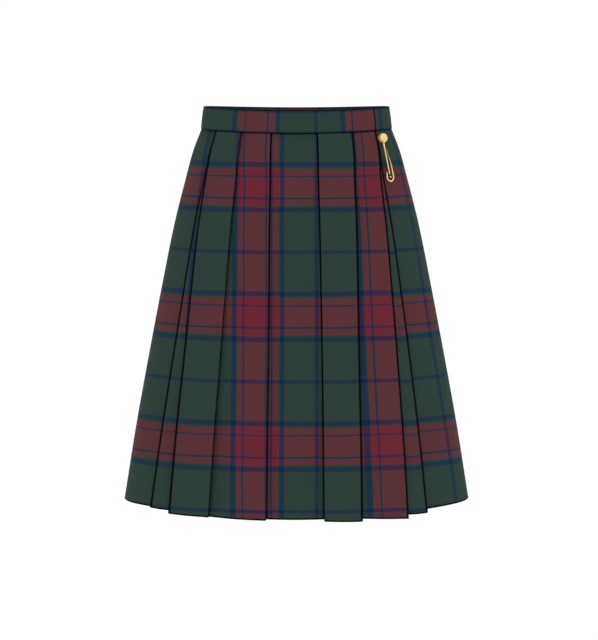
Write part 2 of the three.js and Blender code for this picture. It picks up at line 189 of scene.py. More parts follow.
class NodeTree:
    """A thin cover over a node tree that places nodes and links them by socket name."""

    def __init__(self, tree: bpy.types.NodeTree) -> None:
        """Takes the tree that the nodes go in."""
        self.tree = tree
        self.column = 0

    def add(self, kind: str, inputs: dict | None = None, **settings: object) -> bpy.types.Node:
        """Adds a node.

        Args:
            kind: Its type's name.
            inputs: What goes in each input: a socket to link, or a value.
            settings: Its own settings.

        Returns:
            The node.
        """
        node = self.tree.nodes.new(kind)
        self.column += 1
        node.location = (self.column * NODE_SPACING, 0)
        for name, value in settings.items():
            setattr(node, name, value)
        for key, value in (inputs or {}).items():
            socket = node.inputs[key]
            if isinstance(value, bpy.types.NodeSocket):
                self.tree.links.new(value, socket)
            else:
                socket.default_value = value
        return node

    def math(self, operation: str, a: object, b: object = 0.0, c: object = 0.0) -> bpy.types.NodeSocket:
        """Adds one step of arithmetic and returns its result."""
        return self.add("ShaderNodeMath", {0: a, 1: b, 2: c}, operation=operation).outputs[0]

    def mix(self, share: object, a: object, b: object, blend: str = "MIX") -> bpy.types.NodeSocket:
        """Mixes two colours and returns the result."""
        node = self.add("ShaderNodeMix", {0: share, 6: a, 7: b}, data_type="RGBA", blend_type=blend)
        return node.outputs[2]

    def span(
        self,
        value: object,
        low: float,
        high: float,
        to_low: float,
        to_high: float,
    ) -> bpy.types.NodeSocket:
        """Maps a value smoothly from one span to another.

        Args:
            value: The socket to map.
            low: Where its own span starts.
            high: Where its own span ends.
            to_low: What it becomes at the start.
            to_high: What it becomes at the end.

        Returns:
            The result.
        """
        node = self.add(
            "ShaderNodeMapRange",
            {"Value": value, "From Min": low, "From Max": high, "To Min": to_low, "To Max": to_high},
            interpolation_type="SMOOTHSTEP",
        )
        return node.outputs["Result"]


def shader_group(name: str, inputs: dict[str, tuple[str, object]], outputs: dict[str, str]) -> tuple:
    """Makes an empty shader node group.

    Args:
        name: The group's name.
        inputs: Each input's kind of socket and default value.
        outputs: Each output's kind of socket.

    Returns:
        The group, the cover to add nodes with, and its input and output nodes.
    """
    group = bpy.data.node_groups.new(name, "ShaderNodeTree")
    for label, (kind, default) in inputs.items():
        socket = group.interface.new_socket(name=label, in_out="INPUT", socket_type=kind)
        if default is not None:
            socket.default_value = default
    for label, kind in outputs.items():
        group.interface.new_socket(name=label, in_out="OUTPUT", socket_type=kind)
    nodes = NodeTree(group)
    return group, nodes, nodes.add("NodeGroupInput"), nodes.add("NodeGroupOutput")


def use_group(nodes: NodeTree, group: bpy.types.NodeTree, inputs: dict) -> bpy.types.Node:
    """Places a node group in a material with its own values."""
    return nodes.add("ShaderNodeGroup", inputs, node_tree=group)


def new_material(name: str) -> tuple[bpy.types.Material, NodeTree, bpy.types.Node]:
    """Makes a material with nothing but its shader.

    Args:
        name: Its name.

    Returns:
        The material, the cover to add nodes with, and the shader.
    """
    material = bpy.data.materials.new(name)
    material.use_nodes = True
    return material, NodeTree(material.node_tree), material.node_tree.nodes["Principled BSDF"]


# ---------------- yarns and tartan


class Yarn(Enum):
    """The tartan's yarns: linear red, green and blue, and how much of a crossing the yarn covers."""

    RED = (0.128, 0.0170, 0.0280, 1.0)
    GREEN = (0.0232, 0.0430, 0.0365, 0.6)
    BLUE = (0.0042, 0.0180, 0.0580, 0.85)


LEAST_BLUE = 0.05  # only the navy yarn has more blue
LEAST_RED = 0.1  # only the red yarn has more red
TWILL_REPEAT = 4  # threads
THREAD_RELIEF = 0.25  # height of a single thread, as a share of the twill's
NOISE_MIDDLE = 0.5
FUZZ_SCALE = 900.0
DYE_SCALE = 22.0
WOOL_ROUGHNESS = 0.9
FUZZ_ROUGHNESS = 0.5  # how much of the fuzz goes into the roughness
# Painted shade: the near-black colour that the cloth is darkened towards in the painted shadow lines beside
# folds, seams, the hem and the band's edges.
PAINTED_SHADOW_COLOUR = (0.02, 0.025, 0.03, 1)


@dataclass(frozen=True)
class Sett:
    """One repeat of a tartan's stripes across a set of threads."""

    name: str
    start: float  # place of the first stripe's edge, in mm
    stripes: tuple[tuple[Yarn, float], ...]  # each stripe's yarn and width in mm

    def period(self) -> float:
        """Width of one repeat in mm."""
        return sum(width for _, width in self.stripes)

    def group(self) -> bpy.types.NodeTree:
        """Makes the node group that turns a place across the threads into the yarn there.

        Returns:
            The group, with the yarn's colour and how much of a crossing it covers.
        """
        group, nodes, given, result = shader_group(
            f"sett_{self.name}",
            {"Position": ("NodeSocketFloat", 0.0)},
            {"Yarn": "NodeSocketColor", "Cover": "NodeSocketFloat"},
        )
        shifted = nodes.math("SUBTRACT", given.outputs["Position"], self.start * MM)
        share = nodes.math("FRACT", nodes.math("DIVIDE", shifted, self.period() * MM))
        ramp = nodes.add("ShaderNodeValToRGB", {"Fac": share})
        ramp.color_ramp.interpolation = "CONSTANT"
        elements = ramp.color_ramp.elements
        place = 0.0
        for index, (yarn, width) in enumerate(self.stripes):
            if index > 1:
                elements.new(place / self.period())
            elements[index].position = place / self.period()
            elements[index].color = yarn.value
            place += width
        nodes.tree.links.new(ramp.outputs["Color"], result.inputs["Yarn"])
        nodes.tree.links.new(ramp.outputs["Alpha"], result.inputs["Cover"])
        return group


def red_bar(half: float, inset: float, line: float) -> tuple[tuple[Yarn, float], ...]:
    """Stripes of a red bar with a fine blue line inside each edge.

    Args:
        half: Half the bar's width.
        inset: Distance of a fine line's middle from the bar's own middle.
        line: Width of a fine line.

    Returns:
        The bar's stripes.
    """
    margin = half - inset - line / 2
    return (
        (Yarn.RED, margin),
        (Yarn.BLUE, line),
        (Yarn.RED, 2 * inset - line),
        (Yarn.BLUE, line),
        (Yarn.RED, margin),
    )


WARP = Sett(
    "warp",
    -24.6,
    (
        *red_bar(24.6, 15.9, 2.5),
        (Yarn.GREEN, 2.4),
        (Yarn.BLUE, 6.8),
        (Yarn.GREEN, 42.0),
        (Yarn.BLUE, 4.8),
        (Yarn.GREEN, 102.4),
        (Yarn.BLUE, 8.0),
        (Yarn.GREEN, 102.4),
        (Yarn.BLUE, 6.8),
        (Yarn.GREEN, 2.4),
    ),
)
WEFT = Sett(
    "weft",
    47.5,
    (
        *red_bar(24.1, 14.7, 2.3),
        (Yarn.GREEN, 2.4),
        (Yarn.BLUE, 6.8),
        (Yarn.GREEN, 50.8),
        (Yarn.BLUE, 4.7),
        (Yarn.GREEN, 49.6),
        (Yarn.BLUE, 6.9),
        (Yarn.GREEN, 3.1),
    ),
)
BAND_WARP = Sett(
    "band_warp",
    -82.1,
    (
        (Yarn.RED, 9.6),
        (Yarn.BLUE, 1.8),
        (Yarn.RED, 30.5),
        (Yarn.BLUE, 1.8),
        (Yarn.RED, 8.0),
        (Yarn.GREEN, 2.6),
        (Yarn.BLUE, 4.4),
        (Yarn.GREEN, 46.6),
        (Yarn.BLUE, 4.4),
        (Yarn.GREEN, 32.0),
        (Yarn.BLUE, 6.6),
        (Yarn.GREEN, 1.9),
        (Yarn.RED, 7.6),
        (Yarn.BLUE, 2.2),
        (Yarn.RED, 40.4),
        (Yarn.GREEN, 1.5),
        (Yarn.RED, 1.5),
        (Yarn.GREEN, 1.5),
        (Yarn.RED, 1.5),
        (Yarn.GREEN, 2.0),
        (Yarn.BLUE, 9.5),
        (Yarn.GREEN, 74.0),
        (Yarn.BLUE, 6.6),
        (Yarn.GREEN, 1.9),
    ),
)
BAND_WEFT = Sett(
    "band_weft",
    -17.0,
    (
        (Yarn.RED, 0.5),
        (Yarn.BLUE, 3.2),
        (Yarn.GREEN, 25.0),
        (Yarn.BLUE, 5.3),
        (Yarn.GREEN, 60.0),
    ),
)


def deeper_cover(nodes: NodeTree, given: bpy.types.Node, own: str, other: str) -> bpy.types.NodeSocket:
    """How much of a crossing a yarn covers, where the navy yarn also drowns the red.

    Args:
        nodes: The group's tree.
        given: The group's input node.
        own: The set of threads that the yarn is in, Warp or Weft.
        other: The other set.

    Returns:
        The cover.
    """
    own_parts = nodes.add("ShaderNodeSeparateColor", {0: given.outputs[f"{own} Yarn"]})
    other_parts = nodes.add("ShaderNodeSeparateColor", {0: given.outputs[f"{other} Yarn"]})
    is_blue = nodes.math("GREATER_THAN", own_parts.outputs["Blue"], LEAST_BLUE)
    on_red = nodes.math("GREATER_THAN", other_parts.outputs["Red"], LEAST_RED)
    more = nodes.math("SUBTRACT", given.outputs["Blue Over Red"], 1.0)
    times = nodes.math("MULTIPLY_ADD", nodes.math("MULTIPLY", is_blue, on_red), more, 1.0)
    return nodes.math("MULTIPLY", given.outputs[f"{own} Cover"], times)


def weave_group() -> bpy.types.NodeTree:
    """Makes the group for a 2/2 twill of two sets of threads.

    Returns:
        The group, with the cloth's colour and its height.
    """
    group, nodes, given, result = shader_group(
        "twill_weave",
        {
            "Cloth Place": ("NodeSocketVector", None),
            "Warp Yarn": ("NodeSocketColor", WHITE),
            "Weft Yarn": ("NodeSocketColor", WHITE),
            "Warp Cover": ("NodeSocketFloat", 1.0),
            "Weft Cover": ("NodeSocketFloat", 1.0),
            "Thread Pitch": ("NodeSocketFloat", 0.0006),
            "Show Of Twill": ("NodeSocketFloat", 0.25),
            "Blue Over Red": ("NodeSocketFloat", 3.2),
        },
        {"Colour": "NodeSocketColor", "Height": "NodeSocketFloat"},
    )
    place = nodes.add("ShaderNodeSeparateXYZ", {0: given.outputs["Cloth Place"]})
    pitch = given.outputs["Thread Pitch"]
    across = nodes.math("DIVIDE", place.outputs["X"], pitch)
    down = nodes.math("DIVIDE", place.outputs["Y"], pitch)
    diagonal = nodes.math("MULTIPLY", nodes.math("ADD", across, down), math.tau / TWILL_REPEAT)
    twill = nodes.math("SINE", diagonal)
    warp_cover = deeper_cover(nodes, given, "Warp", "Weft")
    covers = nodes.math("ADD", warp_cover, deeper_cover(nodes, given, "Weft", "Warp"))
    even = nodes.math("DIVIDE", warp_cover, covers)
    warp_share = nodes.math("MULTIPLY_ADD", twill, given.outputs["Show Of Twill"], even)
    colour = nodes.mix(warp_share, given.outputs["Weft Yarn"], given.outputs["Warp Yarn"])
    wave = nodes.math("SINE", nodes.math("MULTIPLY", across, math.tau))
    threads = nodes.math("MULTIPLY", wave, THREAD_RELIEF)
    height = nodes.math("ADD", twill, threads)
    nodes.tree.links.new(colour, result.inputs["Colour"])
    nodes.tree.links.new(height, result.inputs["Height"])
    return group


def nap_group() -> bpy.types.NodeTree:
    """Makes the group for a wool cloth's nap: fine fuzz and slow unevenness of the dye.

    Returns:
        The group, with the cloth's colour, its height and its roughness.
    """
    group, nodes, given, result = shader_group(
        "wool_nap",
        {
            "Colour": ("NodeSocketColor", WHITE),
            "Fuzz": ("NodeSocketFloat", 0.1),
            "Unevenness": ("NodeSocketFloat", 0.06),
        },
        {"Colour": "NodeSocketColor", "Height": "NodeSocketFloat", "Roughness": "NodeSocketFloat"},
    )
    where = nodes.add("ShaderNodeTexCoord").outputs["Object"]
    hairs = nodes.add("ShaderNodeTexNoise", {"Vector": where, "Scale": FUZZ_SCALE, "Detail": 2.0})
    clouds = nodes.add("ShaderNodeTexNoise", {"Vector": where, "Scale": DYE_SCALE, "Detail": 3.0})
    fine, slow = hairs.outputs["Fac"], clouds.outputs["Fac"]
    fuzz = nodes.math("MULTIPLY", nodes.math("SUBTRACT", fine, NOISE_MIDDLE), given.outputs["Fuzz"])
    dye = nodes.math("MULTIPLY", nodes.math("SUBTRACT", slow, NOISE_MIDDLE), given.outputs["Unevenness"])
    level = nodes.math("ADD", nodes.math("ADD", fuzz, dye), 1.0)
    grey = nodes.add("ShaderNodeCombineColor", {0: level, 1: level, 2: level}).outputs[0]
    colour = nodes.mix(1.0, given.outputs["Colour"], grey, "MULTIPLY")
    roughness = nodes.math("MULTIPLY_ADD", fuzz, FUZZ_ROUGHNESS, WOOL_ROUGHNESS)
    nodes.tree.links.new(colour, result.inputs["Colour"])
    nodes.tree.links.new(fine, result.inputs["Height"])
    nodes.tree.links.new(roughness, result.inputs["Roughness"])
    return group


def painted_edge_shadow_group() -> bpy.types.NodeTree:
    """Makes the group that paints a dark shadow line into the cloth's colour beside a pressed edge or a
    seam's ditch.

    Returns:
        The group, with the colour and its painted shadow line.
    """
    group, nodes, given, result = shader_group(
        "painted_edge_shadow",
        {
            "Colour": ("NodeSocketColor", WHITE),
            "Edge Distance": ("NodeSocketFloat", 1.0),
            "Line": ("NodeSocketFloat", 0.0008),
            "Fade": ("NodeSocketFloat", 0.0012),
            "Depth": ("NodeSocketFloat", 1.0),
        },
        {"Colour": "NodeSocketColor"},
    )
    away = nodes.add(
        "ShaderNodeMapRange",
        {
            "Value": given.outputs["Edge Distance"],
            "From Min": given.outputs["Line"],
            "From Max": given.outputs["Fade"],
            "To Min": given.outputs["Depth"],
            "To Max": 0.0,
        },
        interpolation_type="SMOOTHSTEP",
    ).outputs["Result"]
    # Painted shade: near an edge the colour is darkened towards a near-black shadow colour.
    shade = nodes.mix(away, WHITE, PAINTED_SHADOW_COLOUR)
    colour = nodes.mix(1.0, given.outputs["Colour"], shade, "MULTIPLY")
    nodes.tree.links.new(colour, result.inputs["Colour"])
    return group


class Groups:
    """The shader node groups that the finishes share, each built once."""

    def __init__(self) -> None:
        """Builds every group."""
        self.weave = weave_group()
        self.nap = nap_group()
        self.painted_edge_shadow = painted_edge_shadow_group()


@dataclass(frozen=True)
class TartanFinish:
    """Woven wool tartan that follows a piece's own cloth map."""

    name: str
    warp: Sett
    weft: Sett
    thread_pitch: float = 0.62  # mm
    show_of_twill: float = 0.2
    weave_relief: float = 0.3  # height of the weave, as a share of the nap's
    bump_strength: float = 0.25
    bump_height: float = 0.2  # mm
    gloss: float = 0.06

    def material(self, groups: Groups) -> bpy.types.Material:
        """Builds the material, whose colour gets painted shadow lines beside edges.

        Args:
            groups: The shared node groups.

        Returns:
            The material.
        """
        material, nodes, shader = new_material(self.name)
        place = nodes.add("ShaderNodeUVMap", uv_map=CLOTH_MAP).outputs["UV"]
        axes = nodes.add("ShaderNodeSeparateXYZ", {0: place})
        warp = use_group(nodes, self.warp.group(), {"Position": axes.outputs["X"]})
        weft = use_group(nodes, self.weft.group(), {"Position": axes.outputs["Y"]})
        weave = use_group(
            nodes,
            groups.weave,
            {
                "Cloth Place": place,
                "Warp Yarn": warp.outputs["Yarn"],
                "Weft Yarn": weft.outputs["Yarn"],
                "Warp Cover": warp.outputs["Cover"],
                "Weft Cover": weft.outputs["Cover"],
                "Thread Pitch": self.thread_pitch * MM,
                "Show Of Twill": self.show_of_twill,
            },
        )
        nap = use_group(nodes, groups.nap, {"Colour": weave.outputs["Colour"]})
        # Painted shade: each point's distance from an edge darkens the colour into shadow lines beside folds,
        # seams, the hem and the band's edges.
        distance = nodes.add("ShaderNodeAttribute", attribute_name=EDGE_ATTRIBUTE).outputs["Fac"]
        edge = use_group(
            nodes,
            groups.painted_edge_shadow,
            {"Colour": nap.outputs["Colour"], "Edge Distance": distance},
        )
        relief = weave.outputs["Height"]
        height = nodes.math("MULTIPLY_ADD", relief, self.weave_relief, nap.outputs["Height"])
        bump = nodes.add(
            "ShaderNodeBump",
            {"Height": height, "Strength": self.bump_strength, "Distance": self.bump_height * MM},
        )
        link_nodes = nodes.tree.links.new
        link_nodes(edge.outputs["Colour"], shader.inputs["Base Color"])
        link_nodes(nap.outputs["Roughness"], shader.inputs["Roughness"])
        link_nodes(bump.outputs["Normal"], shader.inputs["Normal"])
        shader.inputs["Specular IOR Level"].default_value = self.gloss
        return material


@dataclass(frozen=True)
class ThreadFinish:
    """Matt sewing thread."""

    name: str = "sewing_thread"
    colour: tuple[float, float, float, float] = (0.018, 0.026, 0.026, 1.0)
    fuzz: float = 0.3

    def material(self, groups: Groups) -> bpy.types.Material:
        """Builds the material.

        Args:
            groups: The shared node groups.

        Returns:
            The material.
        """
        material, nodes, shader = new_material(self.name)
        nap = use_group(nodes, groups.nap, {"Colour": self.colour, "Fuzz": self.fuzz})
        nodes.tree.links.new(nap.outputs["Colour"], shader.inputs["Base Color"])
        nodes.tree.links.new(nap.outputs["Roughness"], shader.inputs["Roughness"])
        return material


@dataclass(frozen=True)
class MetalFinish:
    """Plated or blackened metal with slight handling marks."""

    name: str
    colour: tuple[float, float, float, float]
    worn_colour: tuple[float, float, float, float]
    roughness: float
    metallic: float = 1.0
    mark_scale: float = 260.0
    mark_span: tuple[float, float] = (0.4, 0.7)  # the noise's values between which marks set in
    most_worn: float = 0.5
    worn_roughness: float = 0.16  # what full wear would add to the roughness

    def material(self) -> bpy.types.Material:
        """Builds the material.

        Returns:
            The material.
        """
        material, nodes, shader = new_material(self.name)
        where = nodes.add("ShaderNodeTexCoord").outputs["Object"]
        marks = nodes.add("ShaderNodeTexNoise", {"Vector": where, "Scale": self.mark_scale, "Detail": 4.0})
        share = nodes.span(marks.outputs["Fac"], *self.mark_span, 0.0, self.most_worn)
        colour = nodes.mix(share, self.colour, self.worn_colour)
        rough = nodes.math("MULTIPLY_ADD", share, self.worn_roughness, self.roughness)
        nodes.tree.links.new(colour, shader.inputs["Base Color"])
        nodes.tree.links.new(rough, shader.inputs["Roughness"])
        shader.inputs["Metallic"].default_value = self.metallic
        return material


GILT = MetalFinish(
    "gilt",
    colour=(0.90, 0.62, 0.26, 1),
    worn_colour=(0.78, 0.47, 0.17, 1),
    roughness=0.3,
    metallic=0.7,
)
DARK_STEEL = MetalFinish(
    "dark_steel",
    colour=(0.03, 0.022, 0.018, 1),
    worn_colour=(0.08, 0.06, 0.045, 1),
    roughness=0.5,
)


# ---------------- the form of the cloth


@dataclass(frozen=True)
class SkirtForm:
    """The hollow form that the cloth hangs on: a stack of ellipses.

    Its down is the share of the way from the waist seam to the hem.
    """

    downs: tuple[float, ...] = (0.0, 0.06, 0.127, 0.256, 0.42, 0.6, 0.8, 1.0)
    halves: tuple[float, ...] = (129.3, 140.8, 150.0, 166.4, 183.2, 200.6, 219.0, 235.2)
    depth_ratio: float = 0.75  # an ellipse's depth, as a share of its width
    seam_drop: float = 15.7  # how far the seam lies under the origin at the sides
    waist_dip: float = 3.5  # how much lower it lies at the front and the back
    hem_drop: float = 521.5
    hem_dip: float = 10.0
    layer_pitch: tuple[float, float] = (1.55, 4.2)  # at the seam and the hem
    flutes: tuple[tuple[float, int, float], ...] = ((1.3, 3, 0.7), (0.9, 7, 2.1), (0.5, 11, 4.0))
    side_calm: float = 0.8  # share of the flutes that the sides lose
    calm_power: int = 6  # the higher, the closer to the sides that loss keeps
    flute_power: float = 1.4  # the higher, the closer to the hem the flutes keep

    def fall(self) -> float:
        """Height from the hem to the seam at the sides."""
        return self.hem_drop - self.seam_drop

    def half_width(self, down: float) -> float:
        """Half the form's width at a level."""
        return smooth_value(self.downs, self.halves, down)

    def pitch(self, down: float) -> float:
        """Distance between the middles of two stacked layers at a level."""
        return lerp(*self.layer_pitch, down)

    def outline_per_degree(self, turn: float, half: float) -> float:
        """Measures the outline that one degree of turn covers.

        Args:
            turn: Degrees round from the front.
            half: Half-width of the ellipse.

        Returns:
            Its length.
        """
        angle = math.radians(turn)
        along = math.hypot(half * math.cos(angle), half * self.depth_ratio * math.sin(angle))
        return math.radians(along)

    def swell(self, turn: Array, down: Array) -> Array:
        """Works out how far the drape pushes every layer out, in soft flutes that grow towards the hem.

        Args:
            turn: Degrees round from the front.
            down: Share of the way to the hem.

        Returns:
            The distances.
        """
        angle = np.radians(turn)
        flutes = sum(size * np.sin(count * angle + start) for size, count, start in self.flutes)
        front_and_back = 1 - self.side_calm * np.sin(angle) ** self.calm_power
        return flutes * front_and_back * down**self.flute_power

    def place(self, turn: Array, half: Array, height: Array, out: Array, along: Array) -> Array:
        """Places points out from the form's ellipses and moved along them.

        Args:
            turn: Degrees round from the front.
            half: Half-width of the ellipse.
            height: Height of the point.
            out: Distance out from the ellipse.
            along: Distance along it.

        Returns:
            The points, with x, y and z in the last axis.
        """
        angle = np.radians(turn)
        tangent_x, tangent_y = half * np.cos(angle), half * self.depth_ratio * np.sin(angle)
        length = np.hypot(tangent_x, tangent_y)
        tangent_x, tangent_y = tangent_x / length, tangent_y / length
        x = half * np.sin(angle) + tangent_y * out + tangent_x * along
        y = -half * self.depth_ratio * np.cos(angle) - tangent_x * out + tangent_y * along
        return np.stack(np.broadcast_arrays(x, y, height), axis=-1)

    def seam_height(self, turn: Array) -> Array:
        """Height of the waist seam."""
        return -self.seam_drop - self.waist_dip * np.cos(np.radians(turn)) ** 2

    def hem_height(self, turn: Array) -> Array:
        """Height of the hem before a panel's own drop."""
        return -self.hem_drop - self.hem_dip * np.cos(np.radians(turn)) ** 2


# ---------------- pleats


class Faces(Enum):
    """The way that a fold's edge points, seen from outside."""

    RIGHT = 1
    LEFT = -1


@dataclass(frozen=True)
class Fold:
    """One pressed pleat fold, with its turns at the stations and its tuck at the seam and the hem."""

    faces: Faces
    turns: tuple[float, float, float, float]
    tuck: tuple[float, float]
    top: tuple[float, float] = (0.0, 0.0)  # depth of the top layer at the fold
    joins: bool = False  # hides a seam between two widths


@dataclass(frozen=True)
class StripeLine:
    """A line down the cloth along which one place in the warp's sett runs."""

    place: float
    turns: tuple[float, float, float, float]


@dataclass(frozen=True)
class Panel:
    """What shows between two folds: how far its hem drops at each end, and where its stripes run."""

    drops: tuple[float, float]
    lines: tuple[StripeLine, ...] = ()
    middle: float | None = None  # place in the sett at the panel's middle, if no line gives it
    weft_shift: float = 0.0  # how much lower its weft's stripes lie than the others', in mm


STATIONS = (0.0, 0.147, 0.57, 1.0)  # shares of the way down at which turns are given
OVER_EDGE = (55.9, 49.5, 43.4, 39.8)  # turns of the apron's free edge, which closes the wrap
FOLD_LAYERS = 2  # layers between a panel and the one that its fold lies over
FIRST_LINE = 78.2  # places of blue lines in the warp's sett
SECOND_LINE = 187.0
WIDE_GREEN = 132.6
FAR = 10.0  # mm: a distance from an edge at which it leaves no painted shadow
PAINTED_SHADOW_LINE = 1.0  # mm: half-way out from the dark of a painted shadow line

FOLDS = (
    Fold(Faces.RIGHT, (57.0, 53.3, 51.5, 50.0), (16, 28), top=(1, 1)),
    Fold(Faces.RIGHT, (93.5, 93.0, 93.0, 93.0), (16, 30)),
    Fold(Faces.RIGHT, (112.0, 112.5, 113.0, 113.5), (15, 28), joins=True),
    Fold(Faces.RIGHT, (131.0, 131.5, 132.0, 132.5), (16, 31)),
    Fold(Faces.RIGHT, (150.5, 150.5, 151.0, 151.0), (17, 29)),
    Fold(Faces.RIGHT, (168.5, 168.5, 169.0, 169.5), (16, 30)),
    Fold(Faces.LEFT, (191.0, 191.0, 190.5, 190.5), (17, 31)),
    Fold(Faces.LEFT, (209.5, 209.5, 209.5, 210.0), (16, 28)),
    Fold(Faces.LEFT, (229.0, 229.0, 229.5, 229.5), (16, 30)),
    Fold(Faces.LEFT, (247.5, 248.0, 248.5, 248.5), (15, 27), joins=True),
    Fold(Faces.LEFT, (266.5, 267.0, 267.0, 267.0), (16, 29)),
    Fold(Faces.LEFT, (299.7, 300.8, 301.2, 300.9), (15, 27), top=(2, 0.8)),
    Fold(Faces.LEFT, (301.6, 304.4, 309.7, 312.3), (16, 26), joins=True),
    Fold(Faces.RIGHT, (324.8, 326.9, 328.8, 329.5), (16, 26)),
    Fold(Faces.RIGHT, (344.5, 346.3, 348.9, 350.1), (17, 30)),
    Fold(Faces.LEFT, (372.7, 371.5, 370.2, 369.1), (17, 22)),
    Fold(Faces.RIGHT, (396.2, 391.9, 385.7, 382.3), (17, 22)),
)
PANELS = (
    Panel((2.2, 3.5), middle=WIDE_GREEN, weft_shift=2.6),
    Panel((-0.5, -1.0), (StripeLine(SECOND_LINE, (79.5, 76.0, 71.0, 70.6)),)),
    Panel((0.5, 1.5)),
    Panel((0.0, 2.0)),
    Panel((0.5, 1.5)),
    Panel((0.0, 2.5)),
    Panel((0.5, 0.5)),
    Panel((2.5, 0.5)),
    Panel((1.5, 0.0)),
    Panel((2.0, 0.5)),
    Panel((1.5, 0.0)),
    Panel((0.0, 0.0), (StripeLine(SECOND_LINE, (291.4, 297.8, 303.5, 304.9)),)),
    Panel((0.0, 0.0), (StripeLine(SECOND_LINE, (292.5, 299.2, 309.6, 314.5)),)),
    Panel((3.3, 2.6), (StripeLine(SECOND_LINE, (323.3, 328.5, 332.5, 335.5)),)),
    Panel((2.6, 2.2), (StripeLine(-15.9, (326.8, 332.3, 338.7, 342.0)),)),
    Panel(
        (1.1, 1.1),
        (
            StripeLine(15.9, (344.7, 347.1, 350.0, 351.4)),
            StripeLine(FIRST_LINE, (371.9, 369.9, 367.8, 366.5)),
        ),
    ),
    Panel((3.5, 5.7), middle=WIDE_GREEN),
    Panel(
        (2.5, 7.2),
        (
            StripeLine(-15.9, (402.6, 397.6, 392.0, 389.6)),
            StripeLine(15.9, (418.9, 411.0, 402.9, 399.4)),
        ),
    ),
)
LAST_PANEL = len(FOLDS)


@dataclass
class Spot:
    """One point of the cloth's spiral at a level."""

    turn: float
    depth: float
    along: float = 0.0
    drop: float = 0.0
    panel: int = 0  # the panel whose stripes run on here
    shows: bool = False  # lies on the panel itself, and not in a fold
    edge: float = FAR  # distance from a pressed edge that shows, in mm, which sets its painted shadow line
    crown: float = 0.0  # share of the panel's crown
    cut_after: bool = False  # a seam between two widths follows


@dataclass
class Level:
    """The spiral's sizes at one level."""

    down: float
    half: float
    pitch: float
    folds: list[float]
    over_edge: float


